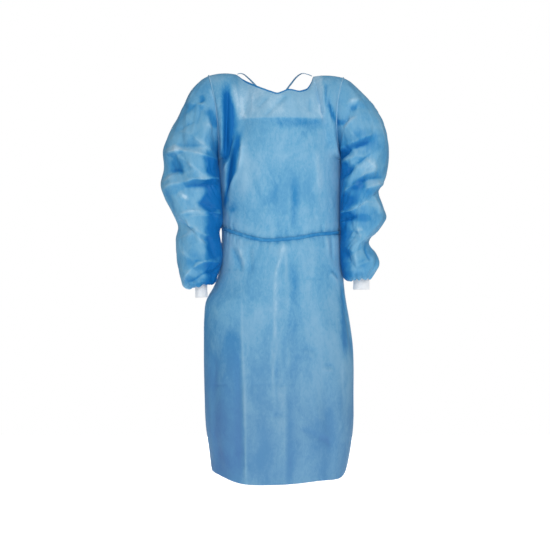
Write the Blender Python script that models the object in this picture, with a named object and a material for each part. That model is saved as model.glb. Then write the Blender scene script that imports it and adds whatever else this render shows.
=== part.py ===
"""Visitor gown: a disposable overgown of thin coated nonwoven cloth, in the hollow form it has when worn.

Metres, +Z up. The front faces -Y and the wearer's left is +X; left and right in names are those of
someone who looks at the front. The origin is midway between the two neck points, at shoulder height.
Tables are in millimetres and are read through MM.

A maker cuts one front, two back panels, two sleeves, a neck binding and the tie strips from the same
roll, closes the shoulder, armhole and side seams, and sets a knitted cuff in each sleeve end.
"""
import math

import bmesh
import bpy
import numpy as np
from mathutils import Matrix

MM = 0.001
WALL = 1.6 * MM            # thickness of the cloth wall
SEAM_GAP = 0.3 * MM        # space between two pieces at a seam
FOLD_LEAN = 3.0            # folds of a panel sink mostly straight back or forward, and a little inwards
UNDERARM = -235 * MM       # height where side seam and armhole meet
HEM_ROWS = 14              # rows of the panels from the hem up to the waist tie
CHEST_ROWS = 6             # rows from the waist tie up to the underarm
ARM_ROWS = 12              # rows from the underarm up to the shoulder, and steps in half an armhole

# Body of the gown at each height: left and right edge, depth in front and behind, squareness.
BODY = (
    # height, left, right, front, back, squareness
    (-1132, -185, 188, 150, 146, 2.35),
    (-1060, -193, 203, 155, 150, 2.40),
    (-990, -203, 212, 158, 152, 2.45),
    (-900, -207, 213, 159, 152, 2.45),
    (-750, -209, 210, 157, 149, 2.45),
    (-680, -208, 200, 153, 146, 2.40),
    (-630, -202, 191, 149, 142, 2.40),
    (-590, -179, 186, 144, 137, 2.35),
    (-545, -165, 183, 138, 131, 2.30),
    (-490, -161, 180, 130, 121, 2.30),
    (-450, -158, 178, 124, 113, 2.30),
    (-405, -160, 179, 127, 118, 2.30),
    (-346, -163, 179, 131, 124, 2.30),
    (-290, -167, 179, 134, 128, 2.30),
    (-235, -168, 178, 133, 128, 2.30),
)

# Hem and waist tie, each at an angle round the body: 0 is centre front and 90 the right side seam.
HEM = (
    # angle, height
    (-180, -1116),
    (-135, -1112),
    (-90, -1106),
    (-60, -1112),
    (-25, -1129),
    (0, -1128),
    (30, -1121),
    (65, -1121),
    (90, -1106),
    (135, -1112),
    (180, -1116),
)
WAIST_TIE = (
    # angle, height
    (-180, -432),
    (-130, -428),
    (-90, -424),
    (-70, -431),
    (-43, -446),
    (-12, -464),
    (10, -459),
    (30, -449),
    (60, -443),
    (90, -438),
    (130, -434),
    (180, -432),
)
TIE_WIDTH = 9 * MM         # the strip is crumpled lengthways, so it is narrow and thick
TIE_THICK = 2.6 * MM
TIE_LIFT = 0.4 * MM        # space between the tie and the cloth under it
TIE_END_LIFT = 1.6 * MM    # and at the tie's last end, where it enters the knot
KNOT_SIZE = (12 * MM, 8 * MM, 10 * MM)
KNOT_CLEAR = 0.6 * MM
KNOT_HEIGHT = -432 * MM
BOW_FACE = (0.0, 1.0, 0.0)             # a bow's strips lie flat against the back
WAIST_BOW_STEPS = 15
# The bow's loops and ends, from the knot's middle: each row is x, distance off the back, height.
WAIST_BOW = (
    ("waist_loop_left", (
        (-14, 9, 5), (-34, 10, 7), (-58, 9, -2), (-70, 9, -20), (-58, 9, -36), (-38, 10, -28), (-14, 9, -8))),
    ("waist_loop_right", (
        (14, 9, 4), (36, 10, 4), (60, 9, -8), (68, 9, -27), (54, 9, -40), (34, 10, -30), (14, 9, -9))),
    ("waist_end_left", (
        (-5, 4, -12), (-12, 6, -40), (-20, 4.5, -90), (-18, 4, -150), (-24, 4, -225))),
    ("waist_end_right", (
        (7, 4, -12), (14, 6, -45), (12, 4.5, -100), (22, 4, -160), (20, 4, -250))),
)
NECK_TIE_WIDTH = 5 * MM
NECK_TIE_THICK = 1.8 * MM
NECK_STRAND_STEPS = 14
NECK_STRAND_FACE = (0.0, 0.25, 1.0)    # and the neck ties flat over the shoulders
NECK_STRANDS = (
    ("neck_tie_left", (
        (-115, 4, 12), (-107, 10, 14.5), (-98, 20, 14), (-84, 42, 6),
        (-64, 68, -10), (-42, 89, -26), (-17, 102, -36))),
    ("neck_tie_right", (
        (97, 4, 6), (84, 9, 12), (69, 18, 16), (54, 38, 10),
        (38, 62, -6), (20, 87, -25), (2, 101, -36))),
)
NECK_KNOT = (-8, 104, -38)
NECK_KNOT_SIZE = (8 * MM, 6 * MM, 7 * MM)
NECK_BOW = (
    ("neck_loop_left", (
        (-9, 3, -1), (-24, 7, -1), (-40, 8, -14), (-36, 7, -34), (-24, 6, -30), (-8, 3, -7))),
    ("neck_loop_right", (
        (9, 3, -2), (26, 7, -3), (40, 8, -18), (33, 7, -36), (22, 6, -28), (8, 3, -8))),
    ("neck_end_left", (
        (-2, -1, -9), (-8, -1, -40), (-16, 1, -85), (-13, 2, -130))),
    ("neck_end_right", (
        (6, -1, -9), (11, -1, -44), (10, 1, -95), (16, 2, -150))),
)

# Front neckline, from the left neck point to the right one.
NECKLINE = (
    # share, x, y, z
    (0.00, -119, 0, 9),
    (0.11, -91, -34, -18),
    (0.19, -72, -54, -30),
    (0.31, -46, -78, -44),
    (0.41, -22, -90, -54),
    (0.50, -2, -95, -60),
    (0.57, 12, -96, -56),
    (0.63, 24, -96, -51),
    (0.70, 38, -93, -50),
    (0.78, 57, -86, -53),
    (0.85, 71, -78, -50),
    (0.91, 84, -63, -41),
    (0.96, 95, -35, -17),
    (1.00, 100, 0, 3),
)
BINDING_WIDTH = 5 * MM
BINDING_PROUD = 0.5 * MM
BINDING_START = 2.5 * SEAM_GAP   # the binding starts this far beyond the front panel's edge
BINDING_SHORT = 0.1              # and ends this share of a column before the neck points
NECK_LEFT = np.array(NECKLINE[0][1:]) * MM
NECK_RIGHT = np.array(NECKLINE[-1][1:]) * MM
NECK_SHARE = 0.61          # share of the front's half width where the neck point lies
SHOULDER_HUMP = 5 * MM     # rise of the shoulder seam at its middle
FRONT_LEFT_STEPS = 9       # columns of the front panel on the left shoulder
FRONT_NECK_STEPS = 18      # along the neckline
FRONT_RIGHT_STEPS = 7      # and on the right shoulder

# Sleeve sections at a distance from the armhole: the line next to the body, the line outside the
# arm, half the depth, and how far the front is cut in towards the body.
SLEEVE_LEFT = (
    # distance, inner x, inner y, inner z, outer x, outer y, outer z, half depth, cut in
    (0, -168, 0, -235, -197, 0, 5, 78, 13),
    (25, -171, -18, -249, -222, -2, -9, 81, 8),
    (55, -168, -34, -265, -246, -5, -34, 84, 3),
    (95, -166, -44, -288, -269, -10, -80, 85, 0),
    (140, -164, -48, -312, -290, -16, -129, 85, 0),
    (185, -162, -50, -336, -311, -22, -171, 84, 0),
    (225, -160, -50, -358, -323, -28, -212, 82, 0),
    (265, -159, -50, -378, -321, -32, -257, 79, 0),
    (305, -158, -50, -398, -329, -36, -306, 76, 0),
    (340, -159, -50, -416, -318, -40, -343, 73, 0),
    (375, -167, -50, -438, -297, -43, -382, 70, 0),
    (410, -165, -50, -458, -280, -46, -419, 67, 0),
    (450, -160, -51, -484, -284, -48, -462, 65, 0),
    (490, -158, -52, -508, -285, -51, -500, 64, 0),
    (525, -162, -54, -534, -279, -54, -538, 60, 0),
    (560, -169, -56, -560, -270, -56, -570, 54, 0),
    (585, -176, -57, -579, -259, -57, -592, 43, 0),
    (600, -187, -57, -585, -244, -57, -595, 31, 0),
    (612, -197, -57, -578, -232, -57, -585, 23, 0),
)
SLEEVE_RIGHT = (
    # distance, inner x, inner y, inner z, outer x, outer y, outer z, half depth, cut in
    (0, 178, 0, -235, 186, 0, -1, 76, 20),
    (25, 181, -18, -249, 205, -2, -12, 80, 13),
    (55, 179, -34, -265, 232, -5, -37, 83, 6),
    (95, 177, -44, -288, 264, -10, -73, 85, 0),
    (140, 177, -48, -312, 287, -16, -109, 85, 0),
    (185, 176, -50, -336, 303, -22, -152, 83, 0),
    (225, 176, -50, -358, 311, -28, -198, 80, 0),
    (265, 176, -50, -378, 308, -32, -252, 77, 0),
    (305, 176, -50, -398, 298, -36, -295, 74, 0),
    (340, 176, -50, -416, 281, -39, -326, 71, 0),
    (375, 179, -50, -436, 290, -42, -363, 68, 0),
    (410, 178, -50, -458, 300, -45, -398, 66, 0),
    (450, 177, -51, -480, 281, -47, -434, 63, 0),
    (490, 177, -52, -502, 253, -49, -468, 60, 0),
    (525, 178, -53, -525, 273, -51, -500, 59, 0),
    (560, 179, -55, -549, 281, -54, -534, 53, 0),
    (585, 185, -56, -569, 265, -56, -559, 42, 0),
    (600, 198, -56, -575, 256, -56, -569, 29, 0),
    (612, 209, -56, -568, 255, -56, -564, 18, 0),
)
CUT_IN_BEHIND = 0.4              # the armhole's back half is cut in by this share of the front half
SLEEVE_HALF_ROUND = 240 * MM     # half the way round the upper arm, the measure for its folds
SLEEVE_STEP = 29 * MM            # distance between two rings of a sleeve
SLEEVE_PLAIN = 522 * MM          # distance along a sleeve where it starts to be gathered into the cuff
GATHER_RINGS = (550, 572, 585, 600, 612)

# Free edge of each back panel, measured across centre back; the right panel lies on the left one.
BACK_COLUMNS = 16
BACK_EDGE = (
    # height, left panel's edge x, right panel's edge x
    (-1132, 52, -48),
    (-900, 56, -52),
    (-600, 54, -52),
    (-432, 50, -50),
    (-350, 32, -34),
    (-290, 6, -8),
    (-235, -20, 20),
)
LAP = 5 * MM               # how far the left panel lies inside the right one where they overlap
LAP_START = 95 * MM        # distance from centre back where it starts to go under
LAP_EASE = 35 * MM         # and the width over which it does so
LAP_TOP = -330 * MM        # the lap fades out from this height up to the underarm

# Lower ends of the cuffs.
CUFF_END_LEFT = (
    # inner x, inner y, inner z, outer x, outer y, outer z, half depth, cut in
    -196, -58, -621, -231, -58, -623, 23, 0)
CUFF_END_RIGHT = (
    209, -57, -600, 255, -57, -600, 18, 0)
CUFF_WALL = 1.8 * MM
CUFF_CLEAR = 0.6 * MM      # space between the cuff and the sleeve's mouth round it
CUFF_INSIDE = 8 * MM       # the cuff's top edge is sewn in above the sleeve's mouth
CUFF_ROWS = 6

# Largest folds, by their two ends on the cloth. A positive depth is a trough.
# On the front, across is measured from centre front and the height is the real one.
FRONT_HALF_WIDTH = 285 * MM
FRONT_SEAM_FADE = 22 * MM        # folds end within this distance of a seam
FRONT_FOLDS = (
    # across 1, height 1, across 2, height 2, half width, depth
    (-202, -15, -210, -212, 24, 21),
    (-176, -150, -222, -350, 18, 10),
    (222, -70, 262, -140, 9, 9),
    (246, -560, 262, -800, 12, 7),
    (-212, -1130, -196, -760, 26, 7),
    (36, -1130, 18, -500, 12, 4),
    (150, -1130, 120, -830, 28, 5),
    (-110, -480, -96, -560, 12, 4),
    (200, -450, 196, -520, 11, 5),
)
# On a back panel, across is measured from the side seam towards centre back.
BACK_WIDTH = 335 * MM
BACK_SEAM_FADE = 20 * MM
BACK_FOLDS = (
    # across 1, height 1, across 2, height 2, half width, depth
    (128, -60, 92, -270, 20, 13),
    (120, -445, 96, -760, 20, 7),
    (190, -445, 205, -900, 24, 7),
    (60, -1130, 76, -700, 24, 7),
    (150, -1130, 150, -900, 20, 6),
    (215, -250, 180, -425, 16, 5),
)
# On a sleeve, round is 0 along the outside of the arm, -1 in front and +1 behind at the inner side.
SLEEVE_FOLDS = (
    # round 1, distance 1, round 2, distance 2, half width, depth
    (-0.10, 205, -0.85, 150, 22, -7),
    (-0.10, 250, -0.85, 195, 20, 8),
    (-0.05, 310, -0.85, 240, 21, -6),
    (-0.40, 345, -0.85, 300, 24, 10),
    (-0.15, 385, -0.80, 365, 20, -5),
    (-0.62, 395, -0.80, 520, 22, 9),
    (-0.15, 545, -0.70, 500, 20, -5),
    (0.15, 225, 0.85, 160, 22, -6),
    (0.20, 330, 0.85, 270, 24, 9),
    (0.10, 420, 0.80, 390, 22, 6),
    (0.15, 540, 0.75, 490, 20, -5),
)


def read_table(rows, key):
    """Every column after the first at the given keys, on a smooth curve through the table's rows."""
    table = np.array(rows, dtype=float)
    knots = table[:, 0]
    slopes = np.gradient(table, knots, axis=0)
    key = np.clip(np.asarray(key, dtype=float), knots[0], knots[-1])
    low = np.clip(np.searchsorted(knots, key, side="right") - 1, 0, len(knots) - 2)
    span = (knots[low + 1] - knots[low])[..., None]
    share = ((key - knots[low])[..., None]) / span
    start = (1 + 2 * share) * (1 - share) ** 2 * table[low] + share * (1 - share) ** 2 * span * slopes[low]
    end = share ** 2 * (3 - 2 * share) * table[low + 1] - share ** 2 * (1 - share) * span * slopes[low + 1]
    return np.moveaxis(start + end, -1, 0)[1:]


def smooth(value, start, end):
    """0 before start, 1 after end, and an even S curve between."""
    share = np.clip((value - start) / (end - start), 0, 1)
    return share * share * (3 - 2 * share)


def body_point(angle, height):
    """Point of the body at an angle in degrees and a height: half an oval in front, half behind."""
    left, right, front, back, squareness = read_table(BODY, height / MM)
    side = np.sin(np.radians(angle))
    ahead = np.cos(np.radians(angle))
    power = 2 / squareness
    x = (left + right) / 2 + (right - left) / 2 * np.sign(side) * np.abs(side) ** power
    y = -np.where(ahead > 0, front, back) * np.sign(ahead) * np.abs(np.round(ahead, 9)) ** power
    return np.stack([x * MM, y * MM, height + 0 * x], axis=-1)


def fold_depth(across, along, folds):
    """Depth of all folds at places on the cloth: a soft trough round each line, fading at its ends."""
    total = np.zeros(np.broadcast(across, along).shape)
    for across_1, along_1, across_2, along_2, half_width, depth in folds:
        start = np.array((across_1, along_1)) * MM
        line = np.array((across_2, along_2)) * MM - start
        length = np.hypot(*line)
        share = ((across - start[0]) * line[0] + (along - start[1]) * line[1]) / length ** 2
        inside = np.clip(share, 0, 1)
        away = np.hypot(across - start[0] - inside * line[0], along - start[1] - inside * line[1])
        fade = smooth(share, -0.05, 0.25) * (1 - smooth(share, 0.75, 1.05))
        total += depth * MM * fade * np.exp(-(away / (half_width * MM)) ** 2)
    return total


def normals(grid, closed=False):
    """Unit normals of a grid of points: columns crossed with rows."""
    if closed:
        ring = np.concatenate([grid[:, -1:], grid, grid[:, :1]], axis=1)
        across = np.gradient(ring, axis=1)[:, 1:-1]
    else:
        across = np.gradient(grid, axis=1)
    crossed = np.cross(across, np.gradient(grid, axis=0))
    return crossed / np.linalg.norm(crossed, axis=-1, keepdims=True)


def wall_solid(name, outer, inner, material, closed=False):
    """Closed wall between an outer and an inner grid; both faces are split along the same diagonal."""
    rows, columns = outer.shape[:2]
    points = np.concatenate([outer.reshape(-1, 3), inner.reshape(-1, 3)])
    number = np.arange(rows * columns).reshape(rows, columns)
    if closed:
        number = np.concatenate([number, number[:, :1]], axis=1)
    under = number + rows * columns

    def split(a, b, c, d):
        corners = [part.ravel() for part in (a, b, c, d)]
        first = np.stack(corners[:3], axis=1)
        second = np.stack([corners[0], corners[2], corners[3]], axis=1)
        return np.concatenate([first, second])

    faces = [
        split(number[:-1, :-1], number[:-1, 1:], number[1:, 1:], number[1:, :-1]),
        split(under[:-1, :-1], under[1:, :-1], under[1:, 1:], under[:-1, 1:]),
        split(under[0, :-1], under[0, 1:], number[0, 1:], number[0, :-1]),
        split(number[-1, :-1], number[-1, 1:], under[-1, 1:], under[-1, :-1]),
    ]
    if not closed:
        faces.append(split(number[:-1, 0], number[1:, 0], under[1:, 0], under[:-1, 0]))
        faces.append(split(under[:-1, -1], under[1:, -1], number[1:, -1], number[:-1, -1]))
    mesh = bpy.data.meshes.new(name)
    mesh.from_pydata(points.tolist(), [], np.concatenate(faces).tolist())
    mesh.shade_smooth()
    mesh.set_sharp_from_angle(angle=math.radians(60))
    mesh.materials.append(material)
    solid = bpy.data.objects.new(name, mesh)
    bpy.context.scene.collection.objects.link(solid)
    return solid


def make_material(name, colour, roughness):
    """Material with one colour and roughness."""
    material = bpy.data.materials.new(name)
    material.use_nodes = True
    shader = material.node_tree.nodes["Principled BSDF"]
    shader.inputs["Base Color"].default_value = (*colour, 1)
    shader.inputs["Roughness"].default_value = roughness
    shader.inputs["Metallic"].default_value = 0
    return material


def row_heights(angle):
    """Heights of a panel's rows at each angle: hem, lower and upper edge of the waist tie, underarm."""
    hem = read_table(HEM, angle)[0] * MM
    tie = read_table(WAIST_TIE, angle)[0] * MM
    skirt = np.linspace(0, 1, HEM_ROWS + 1)[:, None]
    chest = np.linspace(0, 1, CHEST_ROWS + 1)[:, None]
    below = hem + (tie - TIE_WIDTH / 2 - hem) * skirt
    above = tie + TIE_WIDTH / 2 + (UNDERARM - tie - TIE_WIDTH / 2) * chest
    return np.concatenate([below, above])


def sleeve_section(rows, distance, round_share):
    """Point of a sleeve: along the line from the inner to the outer side, bowed out in y."""
    section = read_table(rows, distance / MM)
    inner_x, inner_y, inner_z, outer_x, outer_y, outer_z, half_depth, cut_in = section
    share = 1 - np.abs(round_share)
    along = share * share * (3 - 2 * share)
    bow = 4 * share * (1 - share)
    drawn_in = np.where(round_share < 0, 1, CUT_IN_BEHIND) * cut_in
    x = inner_x + (outer_x - inner_x) * along - np.sign(inner_x) * drawn_in * bow ** 2
    y = inner_y + (outer_y - inner_y) * along + half_depth * bow * np.where(round_share < 0, -1, 1)
    z = inner_z + (outer_z - inner_z) * along
    return np.stack([x, y, z], axis=-1) * MM


def armhole_normals(rows):
    """Outward directions in the armhole's plane, front half then back half, both from the underarm up."""
    share = np.linspace(0, 1, ARM_ROWS + 1)
    halves = []
    for round_share in (share - 1, 1 - share):
        edge = sleeve_section(rows, np.zeros(ARM_ROWS + 1), round_share)
        edge[0, 1] = 0
        out = edge - (edge[0] + edge[-1]) / 2
        out[:, 0] = 0
        halves.append(out / np.linalg.norm(out, axis=1, keepdims=True))
    return halves


def shoulder_line(rows, neck, share):
    """Shoulder seam from the armhole's top to the neck point, slightly raised halfway."""
    tip = sleeve_section(rows, np.zeros(1), np.zeros(1))[0]
    line = tip + (neck - tip) * share[:, None]
    line[:, 2] += SHOULDER_HUMP * 4 * share * (1 - share)
    line[:, 1] = 0
    return line


def upper_panel(bottom, top, start, end, edges):
    """Columns from the underarm row up to the top edge: each leaves and arrives along a given direction.

    edges holds, per column, how far its middle is drawn towards the body's middle line.
    """
    share = np.linspace(0, 1, ARM_ROWS + 1)[1:, None, None]
    grid = (1 + 2 * share) * (1 - share) ** 2 * bottom + share * (1 - share) ** 2 * start
    grid = grid + share ** 2 * (3 - 2 * share) * top - share ** 2 * (1 - share) * end
    grid[..., 0] += (4 * share * (1 - share))[..., 0] ** 2 * edges
    return grid


def finish_panel(name, grid, folds, shift, seam_out, side, material):
    """Adds the folds and shifts the seam edges, then puts a wall behind the grid.

    side is 0 for the front panel and -1 or 1 for a back one. seam_out gives the wall's outward
    direction where two pieces meet, so that both walls have the same edge, and is 0 elsewhere.
    """
    turn = -1 if side < 0 else 1
    sink = np.array((0, FOLD_LEAN if side == 0 else -FOLD_LEAN, 0)) - normals(grid) * turn
    sink /= np.linalg.norm(sink, axis=-1, keepdims=True)
    outer = grid + sink * folds[..., None] + shift
    out = normals(outer) * turn
    given = np.linalg.norm(seam_out, axis=-1) > 0
    out[given] = seam_out[given]
    inner = outer - out * WALL
    wall_solid(name, outer[:, ::turn], inner[:, ::turn], material)
    return outer, out


def seam_fade(columns, width):
    """0 at both ends of a row of columns and 1 further in, so folds end before the seams."""
    return smooth(columns, 0, width) * smooth(columns[-1] - columns, 0, width)


def make_front(material):
    """Front panel: columns from the left side seam to the right one, up to shoulders and neckline."""
    left_part = np.linspace(-1, -NECK_SHARE, FRONT_LEFT_STEPS + 1)
    neck_part = np.linspace(-NECK_SHARE, NECK_SHARE, FRONT_NECK_STEPS + 1)
    right_part = np.linspace(NECK_SHARE, 1, FRONT_RIGHT_STEPS + 1)
    across = np.concatenate([left_part[:-1], neck_part, right_part[1:]])
    angle = (90 * across + np.degrees(np.arcsin(across))) / 2
    heights = row_heights(angle)
    lower = body_point(np.broadcast_to(angle, heights.shape), heights)

    bottom = lower[-1]
    neck = np.stack(read_table(NECKLINE, (neck_part / NECK_SHARE + 1) / 2), axis=-1) * MM
    left = shoulder_line(SLEEVE_LEFT, NECK_LEFT, (left_part + 1) / (1 - NECK_SHARE))
    right = shoulder_line(SLEEVE_RIGHT, NECK_RIGHT, (1 - right_part) / (1 - NECK_SHARE))
    top = np.concatenate([left[:-1], neck, right[1:]])

    edge = smooth(np.abs(across), 0.55, 1)[:, None]
    shoulder = smooth(np.abs(across), 0.42, 0.72)[:, None]
    half_depth = np.where(across < 0, SLEEVE_LEFT[0][7], SLEEVE_RIGHT[0][7])[:, None] * MM
    rise = (top - bottom)[:, 2:]
    upwards = np.array((0, 0, 1)) * rise
    forwards = np.array((0, -4, 0)) * half_depth
    start = upwards * (1 - edge) + forwards * edge
    lean_back = np.array((0, 0.10, 0.13))
    end = lean_back * (1 - shoulder) - forwards * shoulder
    cut_in = np.where(across < 0, SLEEVE_LEFT[0][8], -SLEEVE_RIGHT[0][8]) * MM
    upper = upper_panel(bottom, top, start, end, cut_in * edge[:, 0])
    grid = np.concatenate([lower, upper])

    folds = fold_depth(across * FRONT_HALF_WIDTH, grid[..., 2], FRONT_FOLDS)
    folds = folds * seam_fade((across + 1) * FRONT_HALF_WIDTH, FRONT_SEAM_FADE)
    folds[-ARM_ROWS:] *= np.linspace(1, 0, ARM_ROWS)[:, None] ** 0.5
    side_rows = HEM_ROWS + CHEST_ROWS + 2
    shift = np.zeros(grid.shape)
    shift[:side_rows, (0, -1), 1] = -SEAM_GAP / 2
    shift[side_rows - 1:, 0, 0] = SEAM_GAP / 2
    shift[side_rows - 1:, -1, 0] = -SEAM_GAP / 2
    shift[-1, :len(left_part), 1] = -SEAM_GAP / 2
    shift[-1, -len(right_part):, 1] = -SEAM_GAP / 2
    seam_out = np.zeros(grid.shape)
    seam_out[:side_rows, 0] = (-1, 0, 0)
    seam_out[:side_rows, -1] = (1, 0, 0)
    seam_out[-1, :len(left_part)] = (0, 0, 1)
    seam_out[-1, -len(right_part):] = (0, 0, 1)
    seam_out[side_rows - 1:, 0] = armhole_normals(SLEEVE_LEFT)[0]
    seam_out[side_rows - 1:, -1] = armhole_normals(SLEEVE_RIGHT)[0]
    return finish_panel("front_panel", grid, folds, shift, seam_out, 0, material)


def make_back(name, side, material):
    """Back panel of one side (-1 left, 1 right), from its side seam past centre back."""
    share = np.linspace(0, 1, BACK_COLUMNS + 1)
    rows_of_sleeve = SLEEVE_RIGHT if side > 0 else SLEEVE_LEFT
    neck = NECK_RIGHT if side > 0 else NECK_LEFT
    rough = row_heights(side * (90 + 90 * share))
    edge_x = read_table(BACK_EDGE, rough / MM)[1 if side > 0 else 0] * MM
    left, right, _, _, squareness = read_table(BODY, rough / MM)
    past = (edge_x - (left + right) / 2 * MM) / ((right - left) / 2 * MM) * side
    past_angle = np.degrees(np.arcsin(np.sign(past) * np.abs(past) ** (squareness / 2)))
    angle = side * (90 + (90 - past_angle) * share)
    lower = body_point(angle, rough)
    if side < 0:
        under = smooth(lower[..., 0], -LAP_START, -LAP_START + LAP_EASE)
        under = under * (1 - smooth(lower[..., 2], LAP_TOP, UNDERARM))
        lower[..., 1] -= LAP * under

    bottom = lower[-1]
    top = shoulder_line(rows_of_sleeve, neck, share)
    edge = (1 - smooth(share, 0, 0.5))[:, None]
    half_depth = rows_of_sleeve[0][7] * MM
    rise = (top - bottom)[:, 2:]
    upwards = np.array((0, 0, 1.15)) * rise
    backwards = np.array((0, 4, 0)) * half_depth
    start = upwards * (1 - edge) + backwards * edge
    end = -backwards * (1 - 0.15 * (1 - edge))
    cut_in = -side * CUT_IN_BEHIND * rows_of_sleeve[0][8] * MM * edge[:, 0]
    upper = upper_panel(bottom, top, start, end, cut_in)
    grid = np.concatenate([lower, upper])

    folds = fold_depth(share * BACK_WIDTH, grid[..., 2], BACK_FOLDS)
    folds = folds * smooth(share * BACK_WIDTH, 0, BACK_SEAM_FADE) * (1 - smooth(share, 0.6, 0.8))
    folds[-ARM_ROWS:] *= np.linspace(1, 0, ARM_ROWS)[:, None] ** 0.5
    side_rows = HEM_ROWS + CHEST_ROWS + 2
    shift = np.zeros(grid.shape)
    shift[:side_rows, 0, 1] = SEAM_GAP / 2
    shift[side_rows - 1:, 0, 0] = -side * SEAM_GAP / 2
    shift[-1, :, 1] = SEAM_GAP / 2
    seam_out = np.zeros(grid.shape)
    seam_out[:side_rows, 0] = (side, 0, 0)
    seam_out[-1, :] = (0, 0, 1)
    seam_out[side_rows - 1:, 0] = armhole_normals(rows_of_sleeve)[1]
    return finish_panel(name, grid, folds, shift, seam_out, side, material)


# Places round a sleeve's ring: -1 at the inner side, over the front to 0 outside, and on over the back.
ROUND_SHARES = np.concatenate([
    np.linspace(-1, 0, ARM_ROWS + 1),
    np.linspace(0, 1, ARM_ROWS + 1)[1:-1],
])[None, :]


def make_sleeve(name, rows, side, material):
    """Sleeve: rings that turn from the upright armhole to level ones at the wrist."""
    upper = np.arange(0, SLEEVE_PLAIN + SLEEVE_STEP / 2, SLEEVE_STEP)
    distance = np.concatenate([upper, np.array(GATHER_RINGS) * MM])[:, None]
    grid = ring_grid(rows, distance)
    folds = fold_depth(ROUND_SHARES * SLEEVE_HALF_ROUND, distance, sleeve_fold_lines())
    folds = folds * smooth(distance, 0, 2 * SLEEVE_STEP) * (1 - smooth(distance, SLEEVE_PLAIN, distance[-2]))
    folds = folds * (1 - smooth(np.abs(ROUND_SHARES), 0.75, 0.95))
    turn = -side
    out = normals(grid, closed=True) * turn
    outer = grid - out * folds[..., None]
    outer[0, :, 0] += side * SEAM_GAP / 2
    out = normals(outer, closed=True) * turn
    ahead, behind = armhole_normals(rows)
    out[0] = np.concatenate([ahead, behind[::-1][1:-1]])
    inner = outer - out * WALL
    wall_solid(name, outer[:, ::turn], inner[:, ::turn], material, closed=True)


def ring_grid(rows, distance):
    """Rings of a sleeve or cuff at a column of distances, each from the inner side over the front."""
    shape = np.broadcast(distance, ROUND_SHARES).shape
    return sleeve_section(rows, np.broadcast_to(distance, shape), np.broadcast_to(ROUND_SHARES, shape))


def sleeve_fold_lines():
    """The sleeve's folds with round written as millimetres from the outside of the arm."""
    half = SLEEVE_HALF_ROUND / MM
    return [(a * half, b, c * half, d, width, depth) for a, b, c, d, width, depth in SLEEVE_FOLDS]


def make_cuff(name, rows, end, side, material):
    """Knitted cuff: a short tube set in the sleeve's mouth, down to the given end section."""
    mouth = np.array(rows[-1][1:], dtype=float) * MM
    end = np.array(end, dtype=float) * MM
    top = mouth + (mouth - end) * (CUFF_INSIDE / abs(mouth[2] - end[2]))
    top[6] = mouth[6]
    level = np.linspace(0, 1, CUFF_ROWS)[:, None]
    sections = (end + (top - end) * level) / MM
    table = [(step, *section) for step, section in enumerate(sections.tolist())]
    grid = ring_grid(table, np.arange(CUFF_ROWS)[:, None] * MM)
    out = normals(grid, closed=True) * side
    outer = grid - out * CUFF_CLEAR
    inner = outer - out * CUFF_WALL
    wall_solid(name, outer[:, ::side], inner[:, ::side], material, closed=True)


def make_strip(name, middle, face, width, thick, material):
    """Flat strip along a row of points, its wide side facing the given directions."""
    along = np.gradient(middle, axis=0)
    sideways = np.cross(along, face)
    sideways /= np.linalg.norm(sideways, axis=1, keepdims=True)
    face = np.cross(sideways, along)
    face /= np.linalg.norm(face, axis=1, keepdims=True)
    edges = np.stack([middle - sideways * width / 2, middle + sideways * width / 2], axis=1)
    front = edges + face[:, None] * thick / 2
    wall_solid(name, front, front - face[:, None] * thick, material)


def smooth_path(points, count):
    """The given number of points on a smooth curve through a few chosen ones."""
    rows = [(step, *point) for step, point in enumerate(points)]
    return np.stack(read_table(rows, np.linspace(0, len(points) - 1, count)), axis=1) * MM


def make_knot(name, centre, size, material):
    """Knot of a bow: a small rounded lump."""
    mesh = bpy.data.meshes.new(name)
    shape = bmesh.new()
    bmesh.ops.create_uvsphere(shape, u_segments=12, v_segments=8, radius=1)
    place = Matrix.Translation(centre) @ Matrix.Diagonal((*size, 1))
    bmesh.ops.transform(shape, matrix=place, verts=shape.verts)
    shape.to_mesh(mesh)
    shape.free()
    mesh.shade_smooth()
    mesh.materials.append(material)
    knot = bpy.data.objects.new(name, mesh)
    bpy.context.scene.collection.objects.link(knot)


def make_binding(front_outer, front_out):
    """Binding sewn over the neckline: a narrow band that carries on beyond the front panel's edge."""
    first = FRONT_LEFT_STEPS
    last = first + FRONT_NECK_STEPS + 1
    edge = front_outer[-1, first:last].copy()
    out = front_out[-1, first:last].copy()
    out[0] = out[1]
    out[-1] = out[-2]
    along = np.gradient(edge, axis=0)
    up = np.cross(out, along)
    up /= np.linalg.norm(up, axis=1, keepdims=True)
    step = np.array((BINDING_START, BINDING_WIDTH))[:, None, None]
    outer = edge + up * step + out * BINDING_PROUD
    outer[:, 0] += (outer[:, 1] - outer[:, 0]) * BINDING_SHORT
    outer[:, -1] += (outer[:, -2] - outer[:, -1]) * BINDING_SHORT
    wall_solid("neck_binding", outer, outer - out * (WALL + 2 * BINDING_PROUD), STRIP)


def on_back(x, height, lift):
    """Point that far outside the gown's back at an x and a height."""
    left, right, _, back, squareness = read_table(BODY, height / MM)
    share = np.abs((x / MM - (left + right) / 2) / ((right - left) / 2))
    depth = back * MM * (1 - share ** squareness) ** (1 / squareness)
    return np.stack([x, depth + lift, height], axis=-1)


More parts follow.
